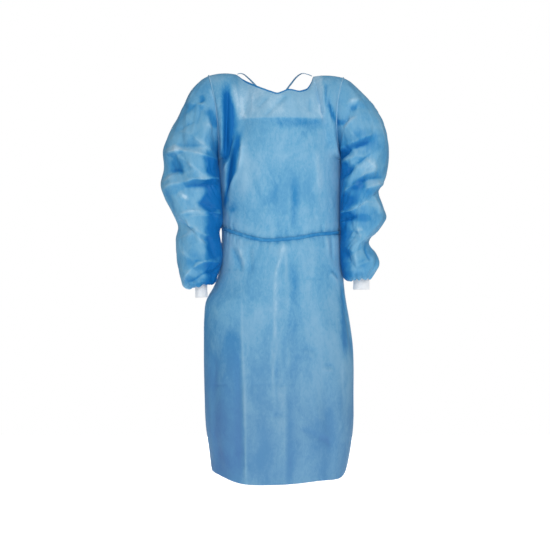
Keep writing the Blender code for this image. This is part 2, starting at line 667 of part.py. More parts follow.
def make_waist_tie():
    """Waist tie: one strip round the gown, tied in a bow behind, with its loops and ends hanging."""
    rows = slice(HEM_ROWS, HEM_ROWS + 2)
    behind_right = right_outer[rows], right_out[rows]
    behind_left = left_outer[rows], left_out[rows]
    x_right = right_outer[HEM_ROWS, :, 0]
    x_left = left_outer[HEM_ROWS, :, 0]
    from_knot = np.flatnonzero(x_right > KNOT_SIZE[0])[::-1]
    on_left = np.flatnonzero(x_left < -LAP_START + LAP_EASE)[1:]
    to_knot = np.flatnonzero(x_right < -KNOT_SIZE[0])[::-1]
    surface = np.concatenate([
        behind_right[0][:, from_knot],
        front_outer[rows, ::-1][:, 1:],
        behind_left[0][:, on_left],
        behind_right[0][:, to_knot],
    ], axis=1)
    out = np.concatenate([
        behind_right[1][:, from_knot],
        front_out[rows, ::-1][:, 1:],
        behind_left[1][:, on_left],
        behind_right[1][:, to_knot],
    ], axis=1)
    lift = np.full(surface.shape[1], TIE_LIFT)
    lift[-len(to_knot)] = TIE_END_LIFT
    inner = surface + out * lift[:, None]
    outer = inner + out * TIE_THICK
    wall_solid("waist_tie", outer[:, ::-1], inner[:, ::-1], STRIP)

    centre = on_back(np.array(0.0), np.array(KNOT_HEIGHT), KNOT_SIZE[1] + KNOT_CLEAR)
    make_knot("waist_knot", centre, KNOT_SIZE, STRIP)
    for name, points in WAIST_BOW:
        path = smooth_path(points, WAIST_BOW_STEPS)
        height = path[:, 2] + centre[2]
        middle = on_back(path[:, 0], height, path[:, 1])
        face = np.broadcast_to(BOW_FACE, middle.shape)
        make_strip(name, middle, face, TIE_WIDTH, TIE_THICK, STRIP)


def make_neck_ties():
    """Neck ties: two strips from the neck points over the shoulders, tied in a small bow behind."""
    knot = np.array(NECK_KNOT) * MM
    for name, points in NECK_STRANDS:
        middle = smooth_path(points, NECK_STRAND_STEPS)
        face = np.broadcast_to(NECK_STRAND_FACE, middle.shape)
        make_strip(name, middle, face, NECK_TIE_WIDTH, NECK_TIE_THICK, STRIP)
    make_knot("neck_knot", knot, NECK_KNOT_SIZE, STRIP)
    for name, points in NECK_BOW:
        middle = smooth_path(points, NECK_STRAND_STEPS) + knot
        face = np.broadcast_to(BOW_FACE, middle.shape)
        make_strip(name, middle, face, NECK_TIE_WIDTH, NECK_TIE_THICK, STRIP)


def clear_scene():
    """Removes whatever the open file holds."""
    for item in list(bpy.data.objects):
        bpy.data.objects.remove(item, do_unlink=True)


clear_scene()
CLOTH = make_material("coated_nonwoven_blue", (0.17, 0.42, 0.70), 0.5)
STRIP = make_material("tie_strip_blue", (0.12, 0.36, 0.66), 0.55)
KNIT = make_material("knitted_cuff_white", (0.85, 0.88, 0.90), 0.9)

front_outer, front_out = make_front(CLOTH)
left_outer, left_out = make_back("back_panel_left", -1, CLOTH)
right_outer, right_out = make_back("back_panel_right", 1, CLOTH)
make_sleeve("sleeve_left", SLEEVE_LEFT, -1, CLOTH)
make_sleeve("sleeve_right", SLEEVE_RIGHT, 1, CLOTH)
make_cuff("cuff_left", SLEEVE_LEFT, CUFF_END_LEFT, -1, KNIT)
make_cuff("cuff_right", SLEEVE_RIGHT, CUFF_END_RIGHT, 1, KNIT)
make_binding(front_outer, front_out)
make_waist_tie()
make_neck_ties()
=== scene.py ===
"""Looks of the visitor gown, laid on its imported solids. Metres, +Z up, the front faces -Y.

Left and right are those of someone who looks at the front. Tables are in millimetres, read through MM.
"""

import math
from collections import namedtuple

import bpy
import numpy as np
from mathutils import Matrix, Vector
from mathutils.geometry import delaunay_2d_cdt


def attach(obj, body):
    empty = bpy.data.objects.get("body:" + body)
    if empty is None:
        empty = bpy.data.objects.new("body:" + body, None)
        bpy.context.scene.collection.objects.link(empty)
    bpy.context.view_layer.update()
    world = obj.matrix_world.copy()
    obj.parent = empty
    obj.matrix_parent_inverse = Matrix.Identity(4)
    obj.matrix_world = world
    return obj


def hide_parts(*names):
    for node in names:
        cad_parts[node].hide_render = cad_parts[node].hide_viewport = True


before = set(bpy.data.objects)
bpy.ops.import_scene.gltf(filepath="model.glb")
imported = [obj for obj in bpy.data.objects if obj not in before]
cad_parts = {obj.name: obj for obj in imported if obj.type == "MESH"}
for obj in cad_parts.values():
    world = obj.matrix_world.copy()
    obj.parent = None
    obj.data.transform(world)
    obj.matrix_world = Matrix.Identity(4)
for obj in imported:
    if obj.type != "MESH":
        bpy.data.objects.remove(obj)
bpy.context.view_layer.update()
MM = 0.001

# ------------------------------------------------------------------------------------------------
# Front panel
# One piece of spunbonded nonwoven with a thin film on its outer face, cut from side seam to side
# seam. It was packed flat, so it keeps a sharp crease across the chest and long soft ones down the
# skirt, and beside the armholes, where the sleeves pull on it, it sinks into deep folds.

BODY = (
    # height, left edge, right edge, depth in front, depth behind, squareness
    (-1132, -185, 188, 150, 146, 2.35),
    (-1060, -193, 203, 155, 150, 2.40),
    (-990, -203, 212, 158, 152, 2.45),
    (-900, -207, 213, 159, 152, 2.45),
    (-750, -209, 210, 157, 149, 2.45),
    (-680, -208, 200, 153, 146, 2.40),
    (-630, -202, 191, 149, 142, 2.40),
    (-590, -179, 186, 144, 137, 2.35),
    (-545, -165, 183, 138, 131, 2.30),
    (-490, -161, 180, 130, 121, 2.30),
    (-450, -158, 178, 124, 113, 2.30),
    (-405, -160, 179, 127, 118, 2.30),
    (-346, -163, 179, 131, 124, 2.30),
    (-290, -167, 179, 134, 128, 2.30),
    (-235, -168, 178, 133, 128, 2.30),
)
HEM = (
    # angle round the body from centre front, height
    (-180, -1116),
    (-135, -1112),
    (-90, -1106),
    (-60, -1112),
    (-25, -1129),
    (0, -1128),
    (30, -1121),
    (65, -1121),
    (90, -1106),
    (135, -1112),
    (180, -1116),
)
WAIST_TIE = (
    # angle round the body, height of the tie's middle
    (-180, -432),
    (-130, -428),
    (-90, -424),
    (-70, -431),
    (-43, -446),
    (-12, -464),
    (10, -459),
    (30, -449),
    (60, -443),
    (90, -438),
    (130, -434),
    (180, -432),
)
UNDERARM = -235 * MM
TIE_WIDTH = 9 * MM
SKIRT_ROWS = 140
CHEST_ROWS = 50
ARM_ROWS = 64
NECKLINE = (
    # share from the left to the right neck point, x, y, z
    (0.00, -119, 0, 9),
    (0.11, -91, -34, -18),
    (0.19, -72, -54, -30),
    (0.31, -46, -78, -44),
    (0.41, -22, -90, -54),
    (0.50, -2, -95, -60),
    (0.57, 12, -96, -56),
    (0.63, 24, -96, -51),
    (0.70, 38, -93, -50),
    (0.78, 57, -86, -53),
    (0.85, 71, -78, -50),
    (0.91, 84, -63, -41),
    (0.96, 95, -35, -17),
    (1.00, 100, 0, 3),
)
NECK_SHARE = 0.61            # share of the front's half width where the neck point lies
ARMHOLE_REACH = 4            # columns leave and arrive along the armhole this strongly, in half depths
BY_ARMHOLE = (0.55, 1)       # over these shares of the half width at the underarm
BY_SHOULDER = (0.42, 0.72)   # and these at the shoulder
NECK_LEAN = (0, 0.10, 0.13)  # they arrive at the neckline leaning back by this
FRONT_LEFT_COLUMNS = 50
FRONT_NECK_COLUMNS = 102
FRONT_RIGHT_COLUMNS = 38
SHOULDER_HUMP = 5 * MM       # rise of the shoulder seam at its middle
Armhole = namedtuple("Armhole", "inner_x inner_y inner_z outer_x outer_y outer_z half_depth cut_in")
LEFT_ARMHOLE = Armhole(-168, 0, -235, -197, 0, 5, 78, 13)
RIGHT_ARMHOLE = Armhole(178, 0, -235, 186, 0, -1, 76, 20)
CUT_IN_BEHIND = 0.4          # the armhole's back half is cut in by this share of the front half
SEAM_GAP = 0.3 * MM
CLOTH = 0.7 * MM             # thickness of the shell
FRONT_HALF_WIDTH = 285 * MM
SEAM_FADE = 12 * MM          # folds and creases die out this close to a seam
TOP_FADE = 0.975             # and from this share of the rows up to the top edge
FOLD_LEAN = 3.0              # folds sink mostly straight back or forward, and a little inwards
CREASE_RISE = 1.25           # creases stand out by this times their depth in the tables
CREASE_ENDS = (-0.08, 0.25, 0.75, 1.08)    # along a crease: it starts, is full, fades and ends

# The folds that the solid has too. Across is measured on the cloth from centre front.
FRONT_FOLDS = (
    # across 1, height 1, across 2, height 2, sag, half width, depth, crispness
    (-212, -15, -216, -245, 0, 22, 21, 2),
    (-176, -170, -214, -350, 0, 14, 11, 2),
    (222, -70, 262, -140, 0, 9, 9, 2),
    (246, -560, 262, -800, 0, 12, 7, 2),
    (-212, -1130, -196, -760, 0, 26, 7, 2),
    (36, -1130, 18, -500, 0, 12, 4, 2),
    (150, -1130, 120, -830, 0, 28, 5, 2),
    (-110, -480, -96, -560, 0, 12, 4, 2),
    (200, -450, 196, -520, 0, 11, 5, 2),
)
# Creases and wrinkles by their place in the front view. A negative depth is a ridge.
FRONT_CREASES = (
    # x 1, z 1, x 2, z 2, sag, half width, depth, crispness
    (-122, -22, -111, -113, 3, 5, -3.0, 1.1),
    (-111, -113, -84, -129, 2, 5, -3.5, 1.1),
    (-105, -68, -96, -122, 0, 4, -2.0, 1.1),
    (-71, -50, -70, -119, 0, 3, -1.6, 1.0),
    (23, -62, -8, -93, 2, 8, 2.2, 1.6),
    (-8, -93, -36, -126, 2, 6, 1.8, 1.4),
    (-28, -70, -56, -98, 0, 6, 1.5, 1.6),
    (88, -72, 86, -114, 0, 4, 2.0, 1.2),
    (112, -82, 114, -128, 0, 3, -2.2, 1.0),
    (124, -30, 130, -118, 0, 4, -2.5, 1.1),
    (136, -18, 132, -112, -2, 4, 3.0, 1.2),
    (114, -129, 130, -118, 2, 4, -2.5, 1.1),
    (-102, -206, -98, -218, 0, 4, -2.0, 1.4),
    (-116, -175, -152, -272, 3, 4, -4.0, 1.1),
    (-100, -176, -110, -275, 4, 5, -3.0, 1.3),
    (-110, -275, -142, -352, -4, 6, -3.0, 1.3),
    (100, -213, 112, -340, 0, 9, -1.8, 1.8),
    (46, -285, 40, -455, 0, 12, 2.2, 1.8),
    (30, -300, 31, -455, 0, 5, -1.4, 1.4),
    (-52, -195, -46, -330, 0, 14, -1.2, 2),
    (-8, -250, -12, -380, 0, 18, 1.4, 2),
    (14, -468, 4, -505, 2, 4, -2.6, 1.2),
    (4, -505, -7, -568, 1, 4, -2.4, 1.2),
    (-7, -568, -8, -745, 0, 4, -2.0, 1.2),
    (-8, -745, -15, -850, 0, 4, -2.0, 1.2),
    (-15, -850, -9, -930, 0, 4, -1.6, 1.2),
    (-4, -790, -8, -930, 0, 4, 2.0, 1.2),
    (18, -468, 22, -590, 0, 4, -2.2, 1.2),
    (22, -590, 26, -700, 0, 4, -1.8, 1.2),
    (26, -700, 28, -820, 0, 5, -1.2, 1.5),
    (43, -540, 46, -760, 0, 14, 1.2, 2),
    (32, -860, 34, -1125, 0, 10, 1.2, 1.8),
    (17, -862, 17, -1125, 0, 3, -2.0, 1.1),
    (10, -860, 14, -930, 0, 9, -1.6, 2),
    (-98, -710, -94, -850, 0, 4, -2.2, 1.1),
    (-94, -850, -88, -985, 0, 4, -2.4, 1.1),
    (-88, -985, -88, -1125, 0, 4, -2.6, 1.1),
    (-108, -780, -104, -1110, 0, 12, 2.4, 1.8),
    (-130, -482, -100, -552, 2, 8, 3.4, 1.6),
    (-112, -478, -90, -540, 2, 5, -2.2, 1.3),
    (-152, -545, -112, -545, 0, 2.5, 1.6, 1.1),
    (62, -571, 128, -572, 1, 2.5, 1.4, 1.1),
    (-78, -857, 52, -857, 0, 2.5, 1.3, 1.1),
    (-185, -862, -140, -858, -2, 3, 2.0, 1.2),
    (118, -804, 148, -806, 2, 5, 1.2, 1.6),
    (118, -818, 150, -820, 0, 4, -1.8, 1.4),
    (-18, -940, 10, -940, 0, 6, 1.4, 1.8),
    (58, -975, 104, -1000, 3, 8, 2.0, 1.8),
    (104, -1000, 150, -1024, 3, 8, 2.0, 1.8),
    (60, -762, 112, -770, 4, 9, 1.6, 2),
    (120, -420, 122, -447, 0, 2.5, 1.8, 1.2),
    (128, -415, 131, -445, 0, 2.5, -1.6, 1.2),
    (126, -450, 129, -486, 0, 2.5, 1.6, 1.2),
    (134, -450, 139, -492, 0, 3, -1.6, 1.2),
    (6, -430, 10, -458, 0, 2.5, 1.4, 1.2),
    (24, -425, 22, -456, 0, 2.5, 1.4, 1.2),
    (-118, -452, -116, -474, 0, 2.5, 1.4, 1.2),
    (-106, -458, -102, -480, 0, 2.5, -1.2, 1.2),
    (-128, -415, -122, -442, 0, 3, 1.6, 1.2),
    (146, -545, 168, -568, 2, 4, 3.2, 1.3),
    (142, -556, 162, -580, 2, 4, -2.6, 1.2),
    (168, -150, 150, -108, 0, 5, 4.0, 1.3),
    (176, -176, 160, -128, 0, 4, -3.0, 1.1),
)
# Painted shade deeper and painted highlights paler than the front's own blue, by place in the front view.
FRONT_SHADES = (
    # x 1, z 1, x 2, z 2, sag, half width, share
    (-149, -30, -153, -262, 15, 14, -0.66),
    (-136, -75, -134, -175, 0, 18, -0.30),
    (-108, -165, -136, -310, 2, 12, -0.70),
    (-124, -245, -150, -375, 0, 7, -0.55),
    (-136, -368, -122, -386, 0, 10, -0.16),
    (-125, -28, -112, -118, 0, 7, 0.22),
    (-104, -55, -96, -124, 0, 5, 0.14),
    (-116, -190, -140, -250, 0, 4, 0.15),
    (140, -85, 160, -140, 0, 8, -0.25),
    (28, -190, 28, -210, 0, 9, -0.08),
    (73, -165, 73, -185, 0, 9, -0.08),
    (46, -325, 46, -365, 0, 9, -0.05),
    (45, -510, 47, -641, 0, 10, -0.06),
    (-12, -935, 2, -935, 0, 6, -0.08),
    (31, -866, 31, -1127, 0, 11, -0.13),
    (177, -585, 184, -790, 0, 9, -0.34),
    (176, -785, 180, -905, 0, 3, 0.12),
    (17, -475, -5, -545, 3, 4, 0.13),
    (-6, -530, -10, -730, 0, 4, 0.16),
    (-9, -700, -20, -810, 0, 4, 0.14),
    (-19, -790, -10, -870, 0, 4, 0.12),
    (-11, -855, -9, -930, 0, 4, 0.10),
    (5, -850, 5, -1120, 0, 9, 0.09),
    (22, -480, 29, -660, 0, 4, 0.12),
    (-99, -600, -97, -745, 0, 3, 0.12),
    (-97, -725, -90, -870, 0, 3, 0.13),
    (-90, -845, -87, -1127, 0, 3, 0.14),
    (40, -780, 92, -788, 0, 8, -0.10),
    (80, -815, 82, -850, 0, 8, -0.08),
    (60, -968, 145, -1015, 0, 8, -0.05),
    (-150, -360, -60, -380, 0, 26, -0.08),
    (-90, -180, -84, -330, 0, 10, 0.08),
    (105, -210, 118, -330, 0, 9, 0.10),
    (-120, -500, -60, -520, 0, 18, 0.06),
    (110, -440, 150, -470, 0, 12, 0.08),
    (-160, -1040, -140, -1100, 0, 24, -0.10),
)
# The packing crease across the chest: its height, where it starts, is full, fades and ends in x, and
# how far the cloth stands out. It leans back to the neckline above it and falls in quickly below.
CHEST_CREASE = -130
CHEST_CREASE_ENDS = (-106, -78, 108, 136)
CHEST_CREASE_RISE = 4.5
CHEST_CREASE_ABOVE = 34
CHEST_CREASE_BELOW = 9
# The crumpled cloth's nets of facets.
FRONT_CRUMPLE = (
    # cell across, cell up, height, seed, roundings
    (62, 84, 1.3, 3, 5),
    (24, 40, 0.7, 5, 2),
)
# Pleats that the waist tie draws in, and the furrow under it.
PLEAT_RISE = 1.3 * MM
PLEAT_REACH = 20
FURROW = 3 * MM
FURROW_REACH = 11
# Shares of the blue's range for painted light and painted shade. A relief's is for a millimetre.
# Painted light on the band above the chest crease, which faces up to the light, and painted shade under it.
ABOVE_CREASE_PAINTED_LIGHT = 0.24
ABOVE_CREASE_ENDS = (-118, -100, 118, 130)
BELOW_CREASE_PAINTED_SHADE = 0.20
BELOW_CREASE_ENDS = (-30, 10, 100, 125)
# Painted highlights on ridges and painted shade in hollows and folds.
RELIEF_LIGHT_AND_SHADE = 0.07
RELIEF_MOST = 4
FOLD_PAINTED_SHADE = 1 / 60
# Painted shade down the skirt, at its left side away from the key light, and at its lower corners.
SKIRT_PAINTED_SHADE = 0.16
LEFT_SKIRT_PAINTED_SHADE = 0.23
LEFT_SKIRT_X = (86, 112)
LEFT_SKIRT_HEIGHTS = (500, 800)
CORNERS_PAINTED_SHADE = 0.07
CORNERS_X = (60, 120)
CORNER_HEIGHTS = (820, 1050)
SKIRT_HEIGHTS = (560, 1130)
GREYED_HEIGHTS = (480, 1000)
GREYED = 0.42                # and the skirt is greyer towards the hem by this share


def read_table(rows, key):
    """Every column after the first at the given keys, on a smooth curve through the table's rows."""
    table = np.array(rows, dtype=float)
    knots = table[:, 0]
    slopes = np.gradient(table, knots, axis=0)
    key = np.clip(np.asarray(key, dtype=float), knots[0], knots[-1])
    low = np.clip(np.searchsorted(knots, key, side="right") - 1, 0, len(knots) - 2)
    span = (knots[low + 1] - knots[low])[..., None]
    share = (key - knots[low])[..., None] / span
    rest = 1 - share
    start = (1 + 2 * share) * rest ** 2 * table[low] + share * rest ** 2 * span * slopes[low]
    end = share ** 2 * (3 - 2 * share) * table[low + 1] - share ** 2 * rest * span * slopes[low + 1]
    return np.moveaxis(start + end, -1, 0)[1:]


def smooth(value, start, end):
    """0 before start, 1 after end, and an even S curve between."""
    share = np.clip((value - start) / (end - start), 0, 1)
    return share * share * (3 - 2 * share)


def between(value, start, full, fades, end):
    """0 up to start and from end on, 1 from full to fades, and S curves between."""
    return smooth(value, start, full) * (1 - smooth(value, fades, end))


def body_point(angle, height):
    """Point of the body: x and y go round a squared oval whose edges and depths follow the height."""
    left, right, front, back, squareness = read_table(BODY, height / MM)
    side = np.sin(np.radians(angle))
    ahead = np.cos(np.radians(angle))
    power = 2 / squareness
    x = (left + right) / 2 + (right - left) / 2 * np.sign(side) * np.abs(side) ** power
    y = -np.where(ahead > 0, front, back) * np.sign(ahead) * np.abs(np.round(ahead, 9)) ** power
    return np.stack([x * MM, y * MM, height + 0 * x], axis=-1)


def unit(vectors):
    """Vectors of length 1 along the given ones."""
    return vectors / np.linalg.norm(vectors, axis=-1, keepdims=True)


def normals(grid, closed=False):
    """Unit normals of a grid: the step across crossed with the step up."""
    if closed:
        ring = np.concatenate([grid[:, -1:], grid, grid[:, :1]], axis=1)
        across = np.gradient(ring, axis=1)[:, 1:-1]
    else:
        across = np.gradient(grid, axis=1)
    return unit(np.cross(across, np.gradient(grid, axis=0)))


def crease_depth(a, b, creases):
    """Depth in metres of all creases at places a, b in millimetres.

    Each is depth times exp(-(distance / half width) ** crispness), where the distance is measured
    from a line bowed by its sag, and fades over the line's two ends.
    """
    total = np.zeros(np.broadcast(a, b).shape)
    for a_1, b_1, a_2, b_2, sag, half_width, depth, crispness in creases:
        line = np.array((a_2 - a_1, b_2 - b_1), dtype=float)
        length = np.hypot(*line)
        share = ((a - a_1) * line[0] + (b - b_1) * line[1]) / length ** 2
        inside = np.clip(share, 0, 1)
        bow = sag * 4 * inside * (1 - inside) / length
        away_a = a - a_1 - inside * line[0] + bow * line[1]
        away_b = b - b_1 - inside * line[1] - bow * line[0]
        hollow = np.exp(-(np.hypot(away_a, away_b) / half_width) ** crispness)
        total += depth * MM * between(share, *CREASE_ENDS) * hollow
    return total


def shade(x, z, shades, crispness=2):
    """Sum of spots as wide as their half widths round lines: painted shade if negative, else highlight."""
    return crease_depth(x, z, [(*line, share / MM, crispness) for *line, share in shades])


def light_and_shade_share(relief, most, share):
    """Share of the blue's range: painted highlight on a ridge, painted shade in a hollow, up to a most."""
    return np.clip(relief, -most, most) * share


def facets(a, b, seed, wrap=64):
    """Crumpled film: a net of triangles with a random height at each corner, and a plane in each.

    The net is bent by slow sines, so that its lines wander. It repeats after wrap cells along a.
    """
    turn = 2 * math.pi / wrap
    a, b = np.broadcast_arrays(a, b)
    bent_a = a + 0.5 * np.sin(1.3 * b + seed + 1.5 * np.sin(turn * 3 * a + seed))
    bent_b = b + 0.5 * np.sin(turn * round(wrap * 0.3) * a + 2 * seed + 1.3 * np.sin(0.7 * b))
    corner = np.random.default_rng(seed).uniform(-1, 1, (wrap, 64))
    i = np.floor(bent_a).astype(int)
    j = np.floor(bent_b).astype(int)
    s = bent_a - i
    t = bent_b - j
    low = corner[i % wrap, j % 64]
    right = corner[(i + 1) % wrap, j % 64]
    up = corner[i % wrap, (j + 1) % 64]
    far = corner[(i + 1) % wrap, (j + 1) % 64]
    lower = low + (right - low) * s + (up - low) * t
    upper = far + (up - far) * (1 - s) + (right - far) * (1 - t)
    return np.where(s + t < 1, lower, upper)


def soften(field, times, closed=False):
    """Rounds a field on a grid: each value becomes the mean of itself and its neighbours, some times."""
    for _ in range(times):
        across = np.pad(field, ((0, 0), (1, 1)), mode="wrap" if closed else "edge")
        field = (across[:, :-2] + 2 * field + across[:, 2:]) / 4
        along = np.pad(field, ((1, 1), (0, 0)), mode="edge")
        field = (along[:-2] + 2 * field + along[2:]) / 4
    return field


def crumple(across, up, nets, seed=0):
    """Relief in metres of crumpled cloth: the sum of its nets of facets, each rounded some times."""
    return sum(height * MM * soften(facets(across / wide, up / high, seed + number), times)
               for wide, high, height, number, times in nets)


def edge_fade(to_seam, rows):
    """1 over a panel, and down to 0 close to its side seam and its top edge."""
    return smooth(to_seam, 0, SEAM_FADE) * smooth(np.linspace(0, 1, rows), 1, TOP_FADE)[:, None]


def row_heights(angle):
    """Heights of a panel's rows at each angle: hem, lower and upper edge of the waist tie, underarm."""
    hem = read_table(HEM, angle)[0] * MM
    tie = read_table(WAIST_TIE, angle)[0] * MM
    skirt = np.linspace(0, 1, SKIRT_ROWS + 1)[:, None]
    chest = np.linspace(0, 1, CHEST_ROWS + 1)[:, None]
    below = hem + (tie - TIE_WIDTH / 2 - hem) * skirt
    above = tie + TIE_WIDTH / 2 + (UNDERARM - tie - TIE_WIDTH / 2) * chest
    return np.concatenate([below, above])


def shoulder_line(armhole, neck, share):
    """Shoulder seam: a straight line from the armhole's top to the neck point, raised halfway."""
    tip = np.array((armhole.outer_x, armhole.outer_y, armhole.outer_z)) * MM
    line = tip + (np.array(neck) * MM - tip) * share[:, None]
    line[:, 2] += SHOULDER_HUMP * 4 * share * (1 - share)
    line[:, 1] = 0
    return line


def upper_panel(bottom, top, start, end, drawn_in):
    """Columns from the underarm to the top edge: cubics that leave and arrive along start and end."""
    share = np.linspace(0, 1, ARM_ROWS + 1)[1:, None, None]
    grid = (1 + 2 * share) * (1 - share) ** 2 * bottom + share * (1 - share) ** 2 * start
    grid = grid + share ** 2 * (3 - 2 * share) * top - share ** 2 * (1 - share) * end
    grid[..., 0] += (4 * share * (1 - share))[..., 0] ** 2 * drawn_in
    return grid


def cloth_mesh(name, points, flat, closed=False, capped=False, **paint):
    """Sheet of quads over a grid of points, with its flat cloth as UV in metres and painted masks.

    A closed sheet joins its last column to its first, and a capped one has a face over each end.
    """
    rows, columns = points.shape[:2]
    number = np.arange(rows * columns).reshape(rows, columns)
    if closed:
        number = np.concatenate([number, number[:, :1]], axis=1)
    faces, uv = (np.stack([grid[:-1, :-1], grid[:-1, 1:], grid[1:, 1:], grid[1:, :-1]], axis=2)
                 for grid in (number, flat))
    faces = faces.reshape(-1, 4).tolist()
    uv = uv.reshape(-1, 2)
    if capped:
        faces += [number[0, -2::-1].tolist(), number[-1, :-1].tolist()]
        uv = np.concatenate([uv, flat[0, -2::-1], flat[-1, :-1]])
    mesh = bpy.data.meshes.new(name)
    mesh.from_pydata(points.reshape(-1, 3).tolist(), [], faces)
    layer = mesh.uv_layers.new(name="cloth")
    layer.data.foreach_set("uv", uv.reshape(-1).astype(np.float32))
    for label, values in paint.items():
        values = np.broadcast_to(values, (rows, columns))
        mask = mesh.attributes.new(label, "FLOAT", "POINT")
        mask.data.foreach_set("value", values.reshape(-1).astype(np.float32))
    mesh.shade_smooth()
    piece = bpy.data.objects.new(name, mesh)
    bpy.context.scene.collection.objects.link(piece)
    return piece


def thicken(piece, thickness):
    """Gives a sheet its thickness on the inner side, so that the shell is closed."""
    shell = piece.modifiers.new("thickness", "SOLIDIFY")
    shell.thickness = thickness
    shell.offset = -1
    shell.use_even_offset = False


def finish(piece, material):
    """Gives a piece its material and its slot, and lets it ride with the gown."""
    piece.data.materials.append(material)
    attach(piece, "root")


def node_group(name, inputs, outputs):
    """New shader node group with its named inputs and outputs, and its two end nodes."""
    group = bpy.data.node_groups.new(name, "ShaderNodeTree")
    for label, kind, value in inputs:
        socket = group.interface.new_socket(label, in_out="INPUT", socket_type=kind)
        if value is not None:
            socket.default_value = value
    for label, kind in outputs:
        group.interface.new_socket(label, in_out="OUTPUT", socket_type=kind)
    return group, group.nodes.new("NodeGroupInput").outputs, group.nodes.new("NodeGroupOutput")


def feed(tree, node, inputs):
    """Links sockets to the named inputs of a node, or sets their values."""
    for label, value in inputs.items():
        if isinstance(value, bpy.types.NodeSocket):
            tree.links.new(value, node.inputs[label])
        else:
            node.inputs[label].default_value = value
    return node


def add_node(tree, kind, inputs=None, **settings):
    """New node in a tree, with its settings and inputs."""
    node = tree.nodes.new("ShaderNode" + kind)
    for label, value in settings.items():
        setattr(node, label, value)
    return feed(tree, node, inputs or {})


def math_node(tree, operation, *values):
    """Value of one Math node."""
    return add_node(tree, "Math", dict(enumerate(values)), operation=operation).outputs[0]


def clouded_fibres_group():
    """Mask from 0 to 1 of how thickly the fibres lie: soft clouds, upright blotches and fibre lines."""
    group, start, end = node_group("clouded_fibres", (("Vector", "NodeSocketVector", None),),
                                   (("Mask", "NodeSocketFloat"), ("Fibres", "NodeSocketFloat")))
    total = 0.0
    for height, scale, detail, roughness, distortion, share in (
            (0.55, 13.0, 6.0, 0.62, 0.5, 0.58),
            (0.55, 85.0, 5.0, 0.68, 1.4, 0.28),
            (0.20, 420.0, 3.0, 0.60, 2.0, 0.14)):
        drawn = add_node(group, "Mapping", {"Vector": start["Vector"], "Scale": (1.0, 1.0, height)})
        fibres = add_node(group, "TexNoise", {"Vector": drawn.outputs[0], "Scale": scale, "Detail": detail,
                                              "Roughness": roughness, "Distortion": distortion})
        total = math_node(group, "MULTIPLY_ADD", fibres.outputs[0], share, total)
    mask = add_node(group, "MapRange", {"Value": total, "From Min": 0.36, "From Max": 0.64},
                    interpolation_type="SMOOTHSTEP")
    feed(group, end, {"Mask": mask.outputs[0], "Fibres": fibres.outputs[0]})
    return group


def bond_points_group():
    """Height of the small round pits that the bonding roller leaves, in rows that are staggered."""
    group, start, end = node_group("bond_points", (("Vector", "NodeSocketVector", None),
                                                   ("Spacing", "NodeSocketFloat", 0.0022)),
                                   (("Height", "NodeSocketFloat"),))
    parts = add_node(group, "SeparateXYZ", {"Vector": start["Vector"]})
    turn = math_node(group, "DIVIDE", 2 * math.pi, start["Spacing"])
    across, along = (math_node(group, "COSINE", math_node(group, "MULTIPLY", parts.outputs[axis], turn))
                     for axis in ("X", "Y"))
    pit = add_node(group, "MapRange", {"Value": math_node(group, "MULTIPLY", across, along),
                                       "From Min": 0.25, "From Max": 0.85, "To Min": 1.0, "To Max": 0.0},
                   interpolation_type="SMOOTHSTEP")
    feed(group, end, {"Height": pit.outputs[0]})
    return group


def film_wrinkles_group():
    """Height of the fine sharp wrinkles of the film: ridged noise, drawn out along two directions."""
    group, start, end = node_group("film_wrinkles", (("Vector", "NodeSocketVector", None),
                                                     ("Scale", "NodeSocketFloat", 30.0)),
                                   (("Height", "NodeSocketFloat"),))
    height = 0.0
    for stretch, turn, share in ((0.45, 0.5, 0.6), (0.5, -0.9, 0.4)):
        drawn = add_node(group, "Mapping", {"Vector": start["Vector"], "Rotation": (0.0, turn, 0.0),
                                            "Scale": (1.0, 1.0, stretch)})
        noise = {"Vector": drawn.outputs[0], "Scale": start["Scale"], "Detail": 4.0, "Roughness": 0.55,
                 "Distortion": 0.6}
        ridge = add_node(group, "TexNoise", noise, noise_type="RIDGED_MULTIFRACTAL")
        height = math_node(group, "MULTIPLY_ADD", ridge.outputs[0], share, height)
    feed(group, end, {"Height": height})
    return group


def cloth_blue_group():
    """The roll's blue, from deep to pale: painted shade in folds, painted highlights on creases."""
    group, start, end = node_group("cloth_blue", (("Share", "NodeSocketFloat", 0.5),),
                                   (("Color", "NodeSocketColor"),))
    ramp = add_node(group, "ValToRGB", {"Fac": start["Share"]})
    stops = ramp.color_ramp.elements
    for _ in CLOTH_BLUES[2:]:
        stops.new(0.5)
    for stop, (place, *colour) in zip(stops, CLOTH_BLUES):
        stop.position = place
        stop.color = (*colour, 1)
    feed(group, end, {"Color": ramp.outputs["Color"]})
    return group


CLOTH_BLUES = (
    # place in the range, red, green, blue
    (0.0, 0.004, 0.128, 0.392),
    (0.3, 0.034, 0.218, 0.460),
    (0.55, 0.126, 0.343, 0.543),
    (0.8, 0.231, 0.437, 0.609),
    (1.0, 0.360, 0.554, 0.709),
)
GREYED_BLUE = (0.15, 0.24, 0.36, 1)
# The thin cloth lets some light through; a faint glow in its own blue stands in for it as painted light.
PAINTED_GLOW = 0.09      # painted light, a glow that keeps its hollows blue
CLOUDED_FIBRES = clouded_fibres_group()
BOND_POINTS = bond_points_group()
FILM_WRINKLES = film_wrinkles_group()
CLOTH_BLUE = cloth_blue_group()


def new_material(name):
    """New material, its node tree and its Principled BSDF."""
    material = bpy.data.materials.new(name)
    material.use_nodes = True
    return material, material.node_tree, material.node_tree.nodes["Principled BSDF"]


